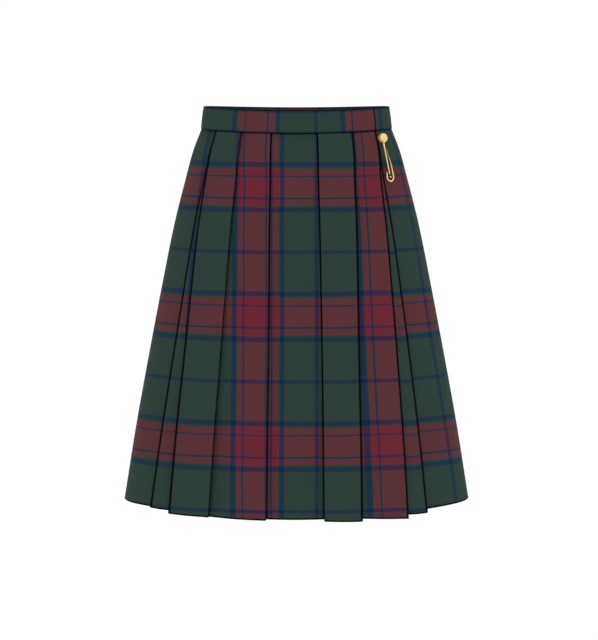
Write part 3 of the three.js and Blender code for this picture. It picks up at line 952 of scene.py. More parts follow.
@dataclass
class PleatedCloth:
    """The pleated widths of cloth, wound in one spiral round the form."""

    form: SkirtForm = field(default_factory=SkirtForm)
    wall: float = 1.1
    gap: float = 0.3  # between two widths, at their hidden seam
    lap: tuple[float, float] = (31.0, 45.0)  # at the seam and the hem, under the over edge
    rows: int = 96
    close_rows: tuple[float, ...] = (0.4, 1.4, 2.6)  # mm from the top and foot, where lines meet in corners
    row_clear: float = 0.4  # share of a row's height within which a row gives way to the turned-up hem's edge
    hem_turn_up: float = 38.0
    hem_step: float = 0.001  # share of the way down from that edge to the row above it, and to the one below
    hem_extra: float = 0.8  # the turned-up layer's own thickness
    foot_steps: int = 4  # in which the cloth rounds its foot
    panel_step: float = 4.6  # mm of hem between two points
    crowding: float = 0.75  # how much a panel's points crowd towards its folds, from 0 to 1
    least_steps: int = 4
    fold_steps: int = 8
    tuck_step: float = 5.0
    lap_steps: int = 9
    crown: float = 2.0  # how far a panel swells between its folds, at the hem
    tucked_in: float = 1.4  # how far the cloth reaches up into the band
    sharpest_bend: float = 0.7  # least cosine of half a bend at which the cloth keeps its thickness
    narrow_shadow_line: tuple[float, float] = (1.4, 0.8)  # mm, at top and hem: the painted shadow line on an edge that points forwards
    wide_shadow_line: float = 2.3  # mm: the same painted shadow line on an edge that points away
    tip_shadow_line: float = 0.5  # mm: the painted shadow line at the tip of an edge that points forwards, which catches the light
    no_shadow_line: float = 1.6  # mm: distance that leaves no painted shadow line
    apart: tuple[float, float] = (0.55, 0.25)  # how far forwards an edge points before the layer under it loses its painted shadow line, and over which span
    least_facing: float = 0.6  # least share of its width that a painted shadow line shows from the front
    seam_start: float = 0.4  # mm: distance noted at the waist seam itself, which narrows the shadow line painted in its ditch
    foot_start: float = 0.2  # mm: the same at the foot, along which a shadow line is painted
    foot_scale: float = 0.6  # scales distances from the foot, whose painted shadow line is wider
    bake_walls: tuple[float, float] = (0.012, 0.976)  # in the map for baking: the walls' start and width
    bake_gap: float = 0.2  # mm between two rows in that map, on top of their own distance
    bake_heights: tuple[float, float] = (0.985, 0.995)  # of the walls, and of the row that closes the top
    bake_caps: tuple[float, float] = (0.002, 0.992)  # where the strips for the two ends start
    bake_cap: float = 0.006  # the width of each
    names: tuple[str, ...] = ("right_front_width", "back_width", "left_side_width", "front_apron")
    pieces: list[bpy.types.Object] = field(default_factory=list)
    hem_lines: list[Array] = field(default_factory=list)
    flats: dict[str, tuple[float, float, float]] = field(default_factory=dict)

    # ---------------- the spiral at one level

    def level(self, down: float) -> Level:
        """Works out the spiral's sizes at a level."""
        return Level(
            down,
            self.form.half_width(down),
            self.form.pitch(down),
            [smooth_value(STATIONS, fold.turns, down) for fold in FOLDS],
            smooth_value(STATIONS, OVER_EDGE, down),
        )

    def ends(self, panel: int, level: Level) -> tuple[float, float]:
        """Finds the turns between which a panel shows.

        Args:
            panel: The panel's number.
            level: Sizes at the level.

        Returns:
            The turns of its left and right ends.
        """
        left = level.over_edge if panel == 0 else level.folds[panel - 1]
        right = level.over_edge + FULL_TURN if panel == LAST_PANEL else level.folds[panel]
        return left, right

    def end_depths(self, panel: int, level: Level) -> tuple[float, float]:
        """Works out how deep a panel lies at its ends.

        Args:
            panel: The panel's number.
            level: Sizes at the level.

        Returns:
            The depths at its left and right ends.
        """
        left, right = 1.0, 0.0
        if panel > 0:
            before = FOLDS[panel - 1]
            left = lerp(*before.top, level.down) + (FOLD_LAYERS if before.faces is Faces.RIGHT else 0)
        if panel < LAST_PANEL:
            after = FOLDS[panel]
            right = lerp(*after.top, level.down) + (FOLD_LAYERS if after.faces is Faces.LEFT else 0)
        return left, right

    def depth(self, panel: int, turn: float, level: Level) -> float:
        """Works out the depth of a panel's layer, also where it runs on under its neighbours.

        Args:
            panel: The panel's number.
            turn: Degrees round from the front.
            level: Sizes at the level.

        Returns:
            The depth, in layers.
        """
        left, right = self.ends(panel, level)
        if panel == 0 and turn < left:
            return self.depth(LAST_PANEL, turn + FULL_TURN, level) + 1
        if turn < left and FOLDS[panel - 1].faces is Faces.RIGHT:
            return self.depth(panel - 1, turn, level) + FOLD_LAYERS
        if turn > right and panel < LAST_PANEL and FOLDS[panel].faces is Faces.LEFT:
            return self.depth(panel + 1, turn, level) + FOLD_LAYERS
        from_depth, to_depth = self.end_depths(panel, level)
        return lerp(from_depth, to_depth, min(max((turn - left) / (right - left), 0.0), 1.0))

    @staticmethod
    def points_away(faces: Faces, turn: float) -> float:
        """How far an edge at a turn points away from someone in front of or behind the skirt, from 0 to 1."""
        return max(0.0, faces.value * math.sin(math.radians(2 * turn)))

    def shadow_under_edge(self, faces: Faces, turn: float) -> float:
        """Works out which distance to note right under an edge, where a shadow line is painted.

        Args:
            faces: The way that the edge points.
            turn: Its turn.

        Returns:
            The distance, which leaves no painted shadow line where the layer under the edge stands apart from
            it.
        """
        ahead = max(0.0, -faces.value * math.sin(math.radians(2 * turn)))
        start, span = self.apart
        return self.no_shadow_line * min(max((ahead - start) / span, 0.0), 1.0)

    def shadow_line_scale(self, faces: Faces | None, turn: float, inset: float, narrow: float) -> float:
        """Works out what to scale distances from a fold by, whose painted shadow line is wide on an edge that
        points away.

        Args:
            faces: The way that the layer's own edge points, or None for the layer under an edge.
            turn: Turn of the edge.
            inset: How far the rounding of the edge reaches back from it.
            narrow: Width of the painted shadow line on an edge that points forwards.

        Returns:
            The scale.
        """
        away = 0.0 if faces is None else self.points_away(faces, turn)
        tilt = self.form.depth_ratio * math.sin(math.radians(turn))
        facing = abs(math.cos(math.radians(turn))) / math.hypot(tilt, math.cos(math.radians(turn)))
        wide = self.wide_shadow_line / max(facing, self.least_facing)
        return PAINTED_SHADOW_LINE / lerp(narrow, inset + wide, away)

    def panel_spots(self, panel: int, level: Level, hem: Level) -> list[Spot]:
        """Makes the points of one panel between its folds, without the folds' own points.

        Args:
            panel: The panel's number.
            level: Sizes at the level.
            hem: Sizes at the hem, which settle how many points there are.

        Returns:
            The points, from left to right.
        """
        left, right = self.ends(panel, level)
        hem_left, hem_right = self.ends(panel, hem)
        middle = (hem_left + hem_right) / 2
        hem_width = (hem_right - hem_left) * self.form.outline_per_degree(middle, hem.half)
        count = max(self.least_steps, round(hem_width / self.panel_step))
        inset = level.pitch / 2 + self.wall / 2
        rounds_left = panel > 0 and FOLDS[panel - 1].faces is Faces.LEFT
        rounds_right = panel < LAST_PANEL and FOLDS[panel].faces is Faces.RIGHT
        per_degree = self.form.outline_per_degree((left + right) / 2, level.half)
        start = left + (inset / per_degree if rounds_left else 0)
        end = right - (inset / per_degree if rounds_right else 0)
        narrow = lerp(*self.narrow_shadow_line, level.down)
        left_scale = self.shadow_line_scale(Faces.LEFT if rounds_left else None, left, inset, narrow)
        is_last = panel == LAST_PANEL
        own_edge = Faces.RIGHT if rounds_right or is_last else None
        right_scale = self.shadow_line_scale(own_edge, right, 0.0 if is_last else inset, narrow)
        drops = PANELS[panel].drops
        spots = []
        for step in range(1, count):
            even = step / count
            share = lerp(even, (1 - math.cos(math.pi * even)) / 2, self.crowding)
            turn = lerp(start, end, share)
            # Painted shade: the distance from the nearer fold sets the panel's painted shadow line.
            near = min((turn - left) * left_scale, (right - turn) * right_scale)
            spots.append(
                Spot(
                    turn,
                    self.depth(panel, turn, level),
                    drop=lerp(*drops, share),
                    panel=panel,
                    shows=True,
                    edge=near * per_degree,
                    crown=math.sin(math.pi * share) ** 2,
                )
            )
        return spots

    def lap_spots(self, level: Level) -> list[Spot]:
        """Makes the points of the hidden lap.

        Args:
            level: Sizes at the level.

        Returns:
            The points, from the lap's own edge to where it comes out from under the over edge.
        """
        per_degree = self.form.outline_per_degree(level.over_edge, level.half)
        lap = lerp(*self.lap, level.down) / per_degree
        spots = []
        for step in range(self.lap_steps + 1):
            turn = level.over_edge - lap * (1 - step / self.lap_steps)
            drop = PANELS[0].drops[0]
            # Painted shade: a shadow line where the lap goes under the over edge.
            edge = 0.0 if step == self.lap_steps else FAR
            spots.append(Spot(turn, self.depth(0, turn, level), drop=drop, edge=edge))
        return spots

    def fold_spots(self, index: int, level: Level) -> list[Spot]:
        """Makes the points round one fold: its edge, the tuck, the crease and the way out.

        Args:
            index: The fold's number.
            level: Sizes at the level.

        Returns:
            The points, in the spiral's order.
        """
        fold = FOLDS[index]
        sign = fold.faces.value
        top, under = (index, index + 1) if fold.faces is Faces.RIGHT else (index + 1, index)
        edge_turn = level.folds[index]
        per_degree = self.form.outline_per_degree(edge_turn, level.half)
        tuck = lerp(*fold.tuck, level.down)
        radius = level.pitch / 2
        inset = radius + self.wall / 2
        away = self.points_away(fold.faces, edge_turn)
        scale = self.shadow_line_scale(fold.faces, edge_turn, inset, self.tip_shadow_line)
        spots: list[Spot] = []

        def add(distance: float, layer: float, along: float, panel: int, edge: float) -> None:
            """Adds a point.

            Args:
                distance: How far back from the edge it lies.
                layer: How many layers it lies under the top one.
                along: Shift along the form.
                panel: Panel whose stripes run on there.
                edge: Distance to note from a pressed edge, which sets the painted shadow line.
            """
            turn = edge_turn - sign * distance / per_degree
            depth = self.depth(top, turn, level) + layer
            spots.append(Spot(turn, depth, sign * along, panel=panel, edge=edge))

        def round_off(
            distance: float,
            layer: float,
            centre: float,
            bulge: float,
            panel: int,
            shows: bool,
        ) -> None:
            """Adds a half-round turn from one layer to the next.

            Args:
                distance: How far back from the edge the turn lies.
                layer: The layer that it starts on.
                centre: Where its middle lies along the form.
                bulge: How far it reaches past that.
                panel: Panel whose stripes run on there.
                shows: Whether it is the fold's own edge, with a painted shadow line.
            """
            for step in range(self.fold_steps + 1):
                angle = math.pi * step / self.fold_steps
                side = math.sin(angle)
                before_tip = angle <= math.pi / 2
                # Painted shade: the rounding darkens into the fold's shadow line towards its tip and past it.
                edge = inset * (1 - side) * (scale if before_tip else 2 * away)
                layers = layer + (1 - math.cos(angle)) / 2
                add(distance, layers, centre + bulge * side, panel, edge if shows else FAR)

        middle = (inset + tuck) / 2
        steps = max(2, round(fold.tuck[1] / 2 / self.tuck_step))
        round_off(0, 0, -inset, radius, top, True)
        for step in range(1, steps):
            add(lerp(inset, middle, step / steps), 1, 0, top, FAR)
        add(middle - self.gap / 2, 1, 0, top, FAR)
        spots[-1].cut_after = True
        add(middle + self.gap / 2, 1, 0, under, FAR)
        for step in range(1, steps):
            add(lerp(middle, tuck, step / steps), 1, 0, under, FAR)
        round_off(tuck, 1, 0, -radius, under, False)
        out_steps = 2 * steps
        for step in range(1, out_steps + 1):
            last = step == out_steps
            # Painted shade: the point right under the edge gets a shadow line, unless that layer stands apart
            # from it.
            beside = self.shadow_under_edge(fold.faces, edge_turn) if last else FAR
            add(tuck * (1 - step / out_steps), FOLD_LAYERS, 0, under, beside)
        if fold.faces is Faces.LEFT:
            for spot in spots:
                spot.cut_after = False
            spots.reverse()
            at = next(i for i, spot in enumerate(spots) if spot.panel != spots[0].panel)
            spots[at - 1].cut_after = True
        from_drop, to_drop = PANELS[index].drops[1], PANELS[index + 1].drops[0]
        for at, spot in enumerate(spots):
            spot.drop = lerp(from_drop, to_drop, at / (len(spots) - 1))
            spot.cut_after = spot.cut_after and fold.joins
        return spots

    def ring(self, level: Level, hem: Level) -> list[Spot]:
        """Makes the whole spiral at one level.

        Args:
            level: Sizes at the level.
            hem: Sizes at the hem.

        Returns:
            Its points, from the hidden lap to the over edge.
        """
        spots = self.lap_spots(level)
        for panel in range(LAST_PANEL):
            spots += self.panel_spots(panel, level, hem) + self.fold_spots(panel, level)
        spots += self.panel_spots(LAST_PANEL, level, hem)
        drop = PANELS[LAST_PANEL].drops[1]
        # Painted shade: the over edge's end gets a shadow line.
        spots.append(Spot(level.over_edge + FULL_TURN, 0.0, drop=drop, panel=LAST_PANEL, edge=0.0))
        return spots

    # ---------------- the whole spiral

    def levels(self) -> list[float]:
        """Settles the rows, with two close ones at the turned-up hem's edge.

        Returns:
            The share of the way down at which each row lies, rising.
        """
        length = self.form.fall()
        turn_up = 1 - self.hem_turn_up / length
        even = [step / (self.rows - 1) for step in range(self.rows)]
        kept = [down for down in even if abs(down - turn_up) > self.row_clear / self.rows]
        step_rows = [turn_up - self.hem_step, turn_up + self.hem_step]
        close = [step / length for step in self.close_rows]
        return sorted([*kept, *step_rows, *close, *(1 - down for down in close)])

    def build(self) -> None:
        """Builds every width of cloth."""
        downs = self.levels()
        levels = [self.level(down) for down in downs]
        hem = self.level(1.0)
        rings = [self.ring(level, hem) for level in levels]

        def column(name: str) -> Array:
            """One field of every spot, as rows by points."""
            return np.array([[getattr(spot, name) for spot in ring] for ring in rings], float)

        turn, depth, along, drop = (column(name) for name in ("turn", "depth", "along", "drop"))
        edge, crown, panel = column("edge"), column("crown"), column("panel")[0].astype(int)
        down = np.array(downs)[:, None]
        half = np.array([level.half for level in levels])[:, None]
        pitch = np.array([level.pitch for level in levels])[:, None]
        swell = self.form.swell(turn, down) + self.crown * crown * down
        seam, foot = self.form.seam_height(turn), self.form.hem_height(turn) - drop
        height = seam + (foot - seam) * down
        height[0] += self.tucked_in
        middle = self.form.place(turn, half, height, swell - depth * pitch, along)
        wall = self.wall_directions(middle)
        steps = np.hypot(*np.diff(middle[..., :2], axis=1).transpose(2, 0, 1))
        length = np.concatenate([np.zeros((len(downs), 1)), np.cumsum(steps, axis=1)], axis=1)
        across = self.stripe_places(levels, turn, panel, length)
        shift = np.array([PANELS[at].weft_shift for at in panel])
        fall = -(middle[..., 2]) - self.form.seam_drop - self.form.waist_dip - shift
        # Painted shade: shadow lines in the waist seam's ditch and along the hem.
        edge = np.minimum(edge, seam - height + self.seam_start)
        edge = np.minimum(edge, (height - foot) * self.foot_scale + self.foot_start)
        over_turn_up = down > 1 - self.hem_turn_up / self.form.fall()
        inner = self.wall / 2 + np.where(over_turn_up, self.hem_extra, 0.0)
        cuts = [at + 1 for at, spot in enumerate(rings[0]) if spot.cut_after]
        bounds = [0, *cuts, len(rings[0])]
        for name, first, last in zip(self.names, bounds, bounds[1:]):
            part = slice(first, last)
            piece = self.width_of_cloth(
                name,
                middle[:, part],
                wall[:, part],
                inner,
                across[:, part],
                fall[:, part],
                edge[:, part],
                length[:, part],
            )
            self.pieces.append(piece)

    def wall_directions(self, middle: Array) -> Array:
        """Works out level directions square to the cloth, lengthened at bends to keep its thickness.

        Args:
            middle: Middle of the cloth, as rows by points.

        Returns:
            The directions.
        """
        step = np.diff(middle[..., :2], axis=1)
        normal = np.stack([step[..., 1], -step[..., 0]], axis=-1)
        normal /= np.linalg.norm(normal, axis=-1, keepdims=True)
        before = np.concatenate([normal[:, :1], normal], axis=1)
        after = np.concatenate([normal, normal[:, -1:]], axis=1)
        mitre = before + after
        mitre /= np.linalg.norm(mitre, axis=-1, keepdims=True)
        cosine = (mitre * after).sum(-1, keepdims=True)
        mitre /= np.maximum(cosine, self.sharpest_bend)
        return np.concatenate([mitre, np.zeros_like(mitre[..., :1])], axis=-1)

    def stripe_places(self, levels: list[Level], turn: Array, panel: Array, length: Array) -> Array:
        """Works out the place of every point in the warp's sett, in millimetres.

        Args:
            levels: The rows' sizes.
            turn: Turn of each point, as rows by points.
            panel: Panel whose stripes run on at each point of a row.
            length: Length of cloth from the spiral's start to each point.

        Returns:
            The places, as rows by points.
        """
        shows = np.array([spot.shows for spot in self.ring(levels[0], levels[-1])])
        across = np.zeros_like(length)
        carried = 0.0
        for at, what in enumerate(PANELS):
            own, on_panel = panel == at, (panel == at) & shows
            spans = [(turn[row, on_panel], length[row, on_panel]) for row in range(len(levels))]
            middles = [
                self.length_at(*span, sum(self.ends(at, level)) / 2) for span, level in zip(spans, levels)
            ]
            half_way = middles[len(levels) // 2]
            middle_place = half_way + carried if what.middle is None else what.middle
            for row, (span, level) in enumerate(zip(spans, levels)):
                marks = [
                    (self.length_at(*span, smooth_value(STATIONS, line.turns, level.down)), line.place)
                    for line in what.lines
                ]
                (start, place), *others = marks or [(middles[row], middle_place)]
                scale = (others[0][1] - place) / (others[0][0] - start) if others else 1.0
                across[row, own] = place + (length[row, own] - start) * scale
                if row == len(levels) // 2:
                    carried = place - start
        return across

    @staticmethod
    def length_at(turns: Array, lengths: Array, turn: float) -> float:
        """Reads the length of cloth at a turn on a panel or beside it.

        Args:
            turns: Turns of the panel's own points.
            lengths: Length of cloth at each of them.
            turn: Where to read it.

        Returns:
            The length there.
        """
        slope = (lengths[-1] - lengths[0]) / (turns[-1] - turns[0])
        beside = min(turn - turns[0], 0.0) + max(turn - turns[-1], 0.0)
        return float(np.interp(turn, turns, lengths) + beside * slope)

    def width_of_cloth(
        self,
        name: str,
        middle: Array,
        wall: Array,
        inner: Array,
        across: Array,
        fall: Array,
        edge: Array,
        length: Array,
    ) -> bpy.types.Object:
        """Makes one width of cloth as a closed shell with a rounded, turned-up hem.

        Args:
            name: The CAD node that it stands for.
            middle: Middle of the cloth, as rows by points.
            wall: Directions square to it.
            inner: Distance of the wrong side from the middle, for each row.
            across: Place of each point in the warp's sett.
            fall: Place of each point in the weft's sett.
            edge: Distance of each point from a pressed edge, which sets the painted shadow lines.
            length: Length of cloth up to each point.

        Returns:
            The finished object.
        """
        rows, points = middle.shape[:2]
        right_side = middle + wall * self.wall / 2
        wrong_side = middle - wall * inner[:, :, None]
        loop, fall_loop, row_of = [*right_side], [*fall], [*range(rows)]
        thick = self.wall / 2 + inner[-1, 0]
        for step in range(1, self.foot_steps):
            angle = math.pi * step / self.foot_steps
            share = (1 - math.cos(angle)) / 2
            ring = lerp(right_side[-1], wrong_side[-1], share)
            ring = ring - np.array([0, 0, math.sin(angle) * thick / 2])
            loop.append(ring)
            fall_loop.append(fall[-1] + math.sin(angle) * thick / 2)
            row_of.append(rows - 1)
        loop += [*wrong_side[::-1]]
        fall_loop += [*fall[::-1]]
        row_of += [*range(rows - 1, -1, -1)]
        grid = np.array(loop)
        count = len(grid)
        faces = tube_faces(count, points)
        caps = []
        for row in range(rows - 1):
            out_a, out_b = row * points, (row + 1) * points
            in_a, in_b = (count - 1 - row) * points, (count - 2 - row) * points
            caps.append((out_a, in_a, in_b, out_b))
            end = points - 1
            caps.append((out_a + end, out_b + end, in_b + end, in_a + end))
        hem_rows = list(range(rows - 1, rows + self.foot_steps))
        caps.append(tuple(row * points for row in reversed(hem_rows)))
        caps.append(tuple(row * points + points - 1 for row in hem_rows))
        obj = mesh_object(f"{name}_cloth", grid.reshape(-1, 3) * MM, faces + caps)
        mesh = obj.data
        note_edges(mesh, np.array([edge[row] for row in row_of]))
        self.lay_maps(mesh, points, count, row_of, np.array(fall_loop), across, length, len(faces))
        self.hem_lines.append(wrong_side[np.argmax(inner[:, 0] > self.wall) + 1])
        steps = np.linalg.norm(np.diff(middle, axis=1), axis=-1).sum(1)
        drops = np.linalg.norm(np.diff(middle[:, points // 2], axis=0), axis=-1).sum()
        heights = np.linalg.norm(np.diff(middle, axis=0), axis=-1)
        widths = np.linalg.norm(np.diff(middle, axis=1), axis=-1)
        area = float((heights[:, :-1] * (widths[:-1] + widths[1:]) / 2).sum())
        self.flats[name] = (steps.max() * MM, drops * MM, area * MM * MM)
        return obj

    def lay_maps(
        self,
        mesh: bpy.types.Mesh,
        points: int,
        count: int,
        row_of: list[int],
        fall: Array,
        across: Array,
        length: Array,
        wall_faces: int,
    ) -> None:
        """Lays the cloth map, in metres of sett, and a flat map without overlaps for baking.

        Args:
            mesh: The width's mesh.
            points: Points in each of its rows.
            count: Its rows, down the right side and up the wrong side.
            row_of: The cloth's row that each of them belongs to.
            fall: Place of each point in the weft's sett.
            across: Place of each point of the cloth in the warp's sett.
            length: Length of cloth up to each point.
            wall_faces: How many faces come before those that close the ends.
        """
        cloth = np.zeros((len(mesh.loops), 2))
        bake = np.zeros((len(mesh.loops), 2))
        corners, starts, totals = corner_table(mesh)
        line, column = corners // points, corners % points
        row = np.array(row_of)[line]
        first = np.repeat(column[starts], totals)
        low = np.minimum(first, np.minimum.reduceat(column, starts).repeat(totals))
        cloth[:, 0] = across[row, low] + length[row, column] - length[row, low]
        cloth[:, 1] = fall[line, column]
        share = length[len(length) // 2]
        start, width = self.bake_walls
        share = start + width * (share - share[0]) / (share[-1] - share[0])
        bake[:, 0] = share[column]
        wall_height, top_height = self.bake_heights
        heights = np.concatenate([[0], np.cumsum(np.abs(np.diff(fall[:, 0])) + self.bake_gap)])
        heights = heights / heights[-1] * wall_height
        bake[:, 1] = heights[line]
        face = np.repeat(np.arange(len(starts)), totals)
        closing = (face >= (count - 1) * (points - 1)) & (face < wall_faces) & (line == 0)
        bake[closing, 1] = top_height
        cap = face >= wall_faces
        inside = line >= len(across)
        at_end = column == points - 1
        start_cap, end_cap = self.bake_caps
        strip = np.where(at_end, end_cap, start_cap) + self.bake_cap * inside
        bake[cap, 0] = strip[cap]
        bake[cap, 1] = heights[row][cap]
        lay_map(mesh, CLOTH_MAP, cloth * MM)
        lay_map(mesh, BAKE_MAP, bake)

    def dress(self, material: bpy.types.Material) -> None:
        """Args:
            material: The finish.
        """
        for obj, name in zip(self.pieces, self.names):
            obj.data.materials.append(material)
            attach(obj, ROOT)
            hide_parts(name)


# ---------------- the waistband


@dataclass
class Waistband:
    """A strip of the same tartan once round the waist, which laps under its own end."""

    form: SkirtForm = field(default_factory=SkirtForm)
    height: float = 31.0
    top_half: float = 125.6  # half its width at the top
    foot_half: float = 129.3
    turns: tuple[float, ...] = (37.0, 56.2, 93.0, 270.0, 297.0, 318.0, 330.0, 384.0, 395.0, 416.2)
    face: tuple[float, ...] = (-1.25, -1.25, 0.9, 0.9, 0.9, 0.9, 0.9, 0.9, 0.9, 0.9)
    back_top: tuple[float, ...] = (-3.2, -3.2, -2.1, -2.1, -2.4, -2.4, -2.1, -2.1, -0.9, -0.8)
    back_foot: tuple[float, ...] = (-6.3, -6.3, -4.4, -4.4, -7.4, -7.4, -4.4, -4.4, -0.9, -0.8)
    crown: float = 0.5  # how far the face swells between its top and its foot
    crown_power: float = 0.7  # the lower, the flatter the swell
    rounding: float = 0.8
    rounding_rows: tuple[float, ...] = (0.0, 0.3, 1.0)
    inner_rows: int = 23
    stitch_row: int = 3  # rows up from the foot, inside
    step: float = 1.5  # degrees
    top_shadow_line: float = 0.65  # scales distances from the top edge, whose painted shadow line is wider
    lap_shadow_line: float = 0.4  # the same for distances from the end of the strip that shows, whose painted shadow line is wider
    lap_shift: float = 1.0  # where the underlap lies in the band's sett, against the strip over it
    lap_ends: float = 93.0  # turn at which the underlap passes into the band
    end_reach: float = 10.0  # degrees back from the end that shows over which its painted shadow line is noted
    under_reach: float = 15.0  # the same, for the shadow painted on the underlap past that end
    edge_start: float = 0.15  # mm: distance noted at the top and the foot, which narrows their painted shadow lines
    bake_sides: tuple[float, float] = (0.01, 0.98)  # in the map for baking: the strip's start and width
    bake_gap: float = 0.3  # mm between two rows in that map, on top of their own distance
    bake_heights: tuple[float, float] = (0.97, 0.99)  # of the rows, and of the row that closes the top
    piece: bpy.types.Object | None = None
    inside_foot: Array | None = None

    def profile(self) -> list[tuple[float, float, bool]]:
        """Works out the strip's section, from the top down the face and then up the back.

        Returns:
            Each point's height, how far it stands out from 0 to 1, and whether it lies on the back.
        """
        half = self.height / 2
        outward = [-half + self.rounding * bit for bit in self.rounding_rows]
        inner = list(np.linspace(-half + self.rounding, half - self.rounding, self.inner_rows))[1:-1]
        heights = [*outward, *inner, *(-height for height in reversed(outward))]
        face = [(height, self.lift(height), False) for height in reversed(heights)]
        back = [(height, self.lift(height), True) for height in heights]
        return [*face, *back]

    def lift(self, height: float) -> float:
        """Works out how far the strip's rounded surface stands out at a height.

        Args:
            height: Height above the strip's middle.

        Returns:
            The share, from 0 at its top and foot to 1.
        """
        half = self.height / 2
        near = half - abs(height)
        corner = 1 - (1 - min(near / self.rounding, 1.0)) ** 2
        return math.sqrt(max(corner, 0.0))

    def build(self) -> None:
        """Builds the strip as a closed shell."""
        count = round((self.turns[-1] - self.turns[0]) / self.step)
        stops = np.linspace(self.turns[0], self.turns[-1], count + 1)
        face = np.interp(stops, self.turns, self.face)
        backs = [np.interp(stops, self.turns, row) for row in (self.back_top, self.back_foot)]
        dip = self.form.waist_dip * np.cos(np.radians(stops)) ** 2
        loop, heights = [], []
        for height, lift, is_back in self.profile():
            up = height / self.height + 0.5
            half = lerp(self.foot_half, self.top_half, up)
            back = lerp(backs[1], backs[0], up)
            middle = (face + back) / 2
            if is_back:
                out = lerp(middle, back, lift)
            else:
                swell = self.crown * math.cos(math.pi * height / self.height) ** self.crown_power
                out = lerp(middle, face, lift) + swell * lift
            loop.append(self.form.place(stops, half, height - dip, out, 0.0))
            heights.append(height)
        grid = np.array(loop)
        rows, points = grid.shape[:2]
        faces = tube_faces(rows, points)
        faces.append(tuple(row * points for row in reversed(range(rows))))
        faces.append(tuple(row * points + points - 1 for row in range(rows)))
        self.piece = mesh_object("waistband_cloth", grid.reshape(-1, 3) * MM, faces)
        self.lay_maps(stops, np.array(heights), rows, points)
        self.inside_foot = grid[rows // 2 + self.stitch_row]
        log.info("waistband: %.3f m round", self.strip_length(stops)[-1] * MM)

    def strip_length(self, stops: Array) -> Array:
        """Measures the strip at half its height.

        Args:
            stops: Turns, rising.

        Returns:
            Its length from its start to each stop.
        """
        half = (self.top_half + self.foot_half) / 2
        line = self.form.place(stops, half, 0.0, 0.0, 0.0)
        return np.concatenate([[0], np.cumsum(np.linalg.norm(np.diff(line, axis=0), axis=1))])

    def lay_maps(self, stops: Array, heights: Array, rows: int, points: int) -> None:
        """Lays the cloth map, the distance from an edge that sets the painted shadow lines, and the map for
        baking.

        Args:
            stops: Turn of each point in a row.
            heights: Height of each row.
            rows: How many rows there are.
            points: How many points each has.
        """
        mesh = self.piece.data
        length = self.strip_length(stops)
        front = float(np.interp(FULL_TURN, stops, length))
        place = length - front
        first_turn = float(np.interp(self.lap_ends, stops, length))
        lap_place = length + self.lap_place(stops, length)
        place = np.where(length < first_turn, lap_place, place)
        corners, starts, totals = corner_table(mesh)
        line, column = corners // points, corners % points
        folded = np.where(np.arange(rows) < rows // 2, heights, self.height - heights)
        cloth = np.stack([place[column], folded[line]], axis=1)
        low = np.repeat(np.minimum.reduceat(line, starts), totals)
        high = np.repeat(np.maximum.reduceat(line, starts), totals)
        wraps = (high - low > 1) & (line == 0)
        under_foot = (low == rows // 2 - 1) & (high == rows // 2)
        cloth[under_foot, 1] = folded[rows // 2]
        row_height, top_height = self.bake_heights
        down = np.concatenate([[0], np.cumsum(np.abs(np.diff(heights)) + self.bake_gap)])
        down = down / down[-1] * row_height
        start, width = self.bake_sides
        bake = np.stack([start + width * length[column] / length[-1], down[line]], axis=1)
        bake[wraps, 1] = top_height
        # Painted shade: shadow lines at the end that shows, on the underlap beside it, and along the top and
        # the foot.
        edge = np.full((rows, points), FAR)
        over = stops > stops[-1] - self.end_reach
        per_degree = length[-1] / (stops[-1] - stops[0])
        edge[:, over] = (stops[-1] - stops[over]) * per_degree * self.lap_shadow_line
        under_end = stops[-1] - FULL_TURN
        lap = (stops > under_end) & (stops < under_end + self.under_reach)
        edge[:, lap] = (stops[lap] - under_end) * per_degree
        near = self.height / 2 - np.abs(heights)
        near = near * np.where(heights > 0, self.top_shadow_line, 1.0)
        note_edges(mesh, np.minimum(edge, near[:, None] + self.edge_start))
        lay_map(mesh, CLOTH_MAP, cloth * MM)
        lay_map(mesh, BAKE_MAP, bake)

    def lap_place(self, stops: Array, length: Array) -> float:
        """Works out what to add to a length on the underlap.

        Args:
            stops: Turn of each point in a row.
            length: Length of the strip up to each.

        Returns:
            The addition, which gives the length's place in the band's sett.
        """
        front = float(np.interp(FULL_TURN, stops, length))
        end = float(np.interp(stops[-1], stops, length))
        start = float(np.interp(stops[-1] - FULL_TURN, stops, length))
        return (end - front) - start + self.lap_shift

    def dress(self, material: bpy.types.Material) -> None:
        """Args:
            material: The finish.
        """
        self.piece.data.materials.append(material)
        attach(self.piece, ROOT)
        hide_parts("waistband")


# ---------------- geometry nodes


def geometry_tree(name: str, inputs: dict[str, tuple[str, object]]) -> tuple:
    """Makes an empty geometry node tree.

    Args:
        name: The tree's name.
        inputs: Each size's kind of socket and value.

    Returns:
        The tree, the cover to add nodes with, its input and output nodes, and its sizes' identifiers by name.
    """
    tree = bpy.data.node_groups.new(name, "GeometryNodeTree")
    tree.interface.new_socket(name="Geometry", in_out="INPUT", socket_type="NodeSocketGeometry")
    tree.interface.new_socket(name="Geometry", in_out="OUTPUT", socket_type="NodeSocketGeometry")
    identifiers = {}
    for label, (kind, default) in inputs.items():
        socket = tree.interface.new_socket(name=label, in_out="INPUT", socket_type=kind)
        if default is not None:
            socket.default_value = default
        identifiers[label] = socket.identifier
    nodes = NodeTree(tree)
    return tree, nodes, nodes.add("NodeGroupInput"), nodes.add("NodeGroupOutput"), identifiers


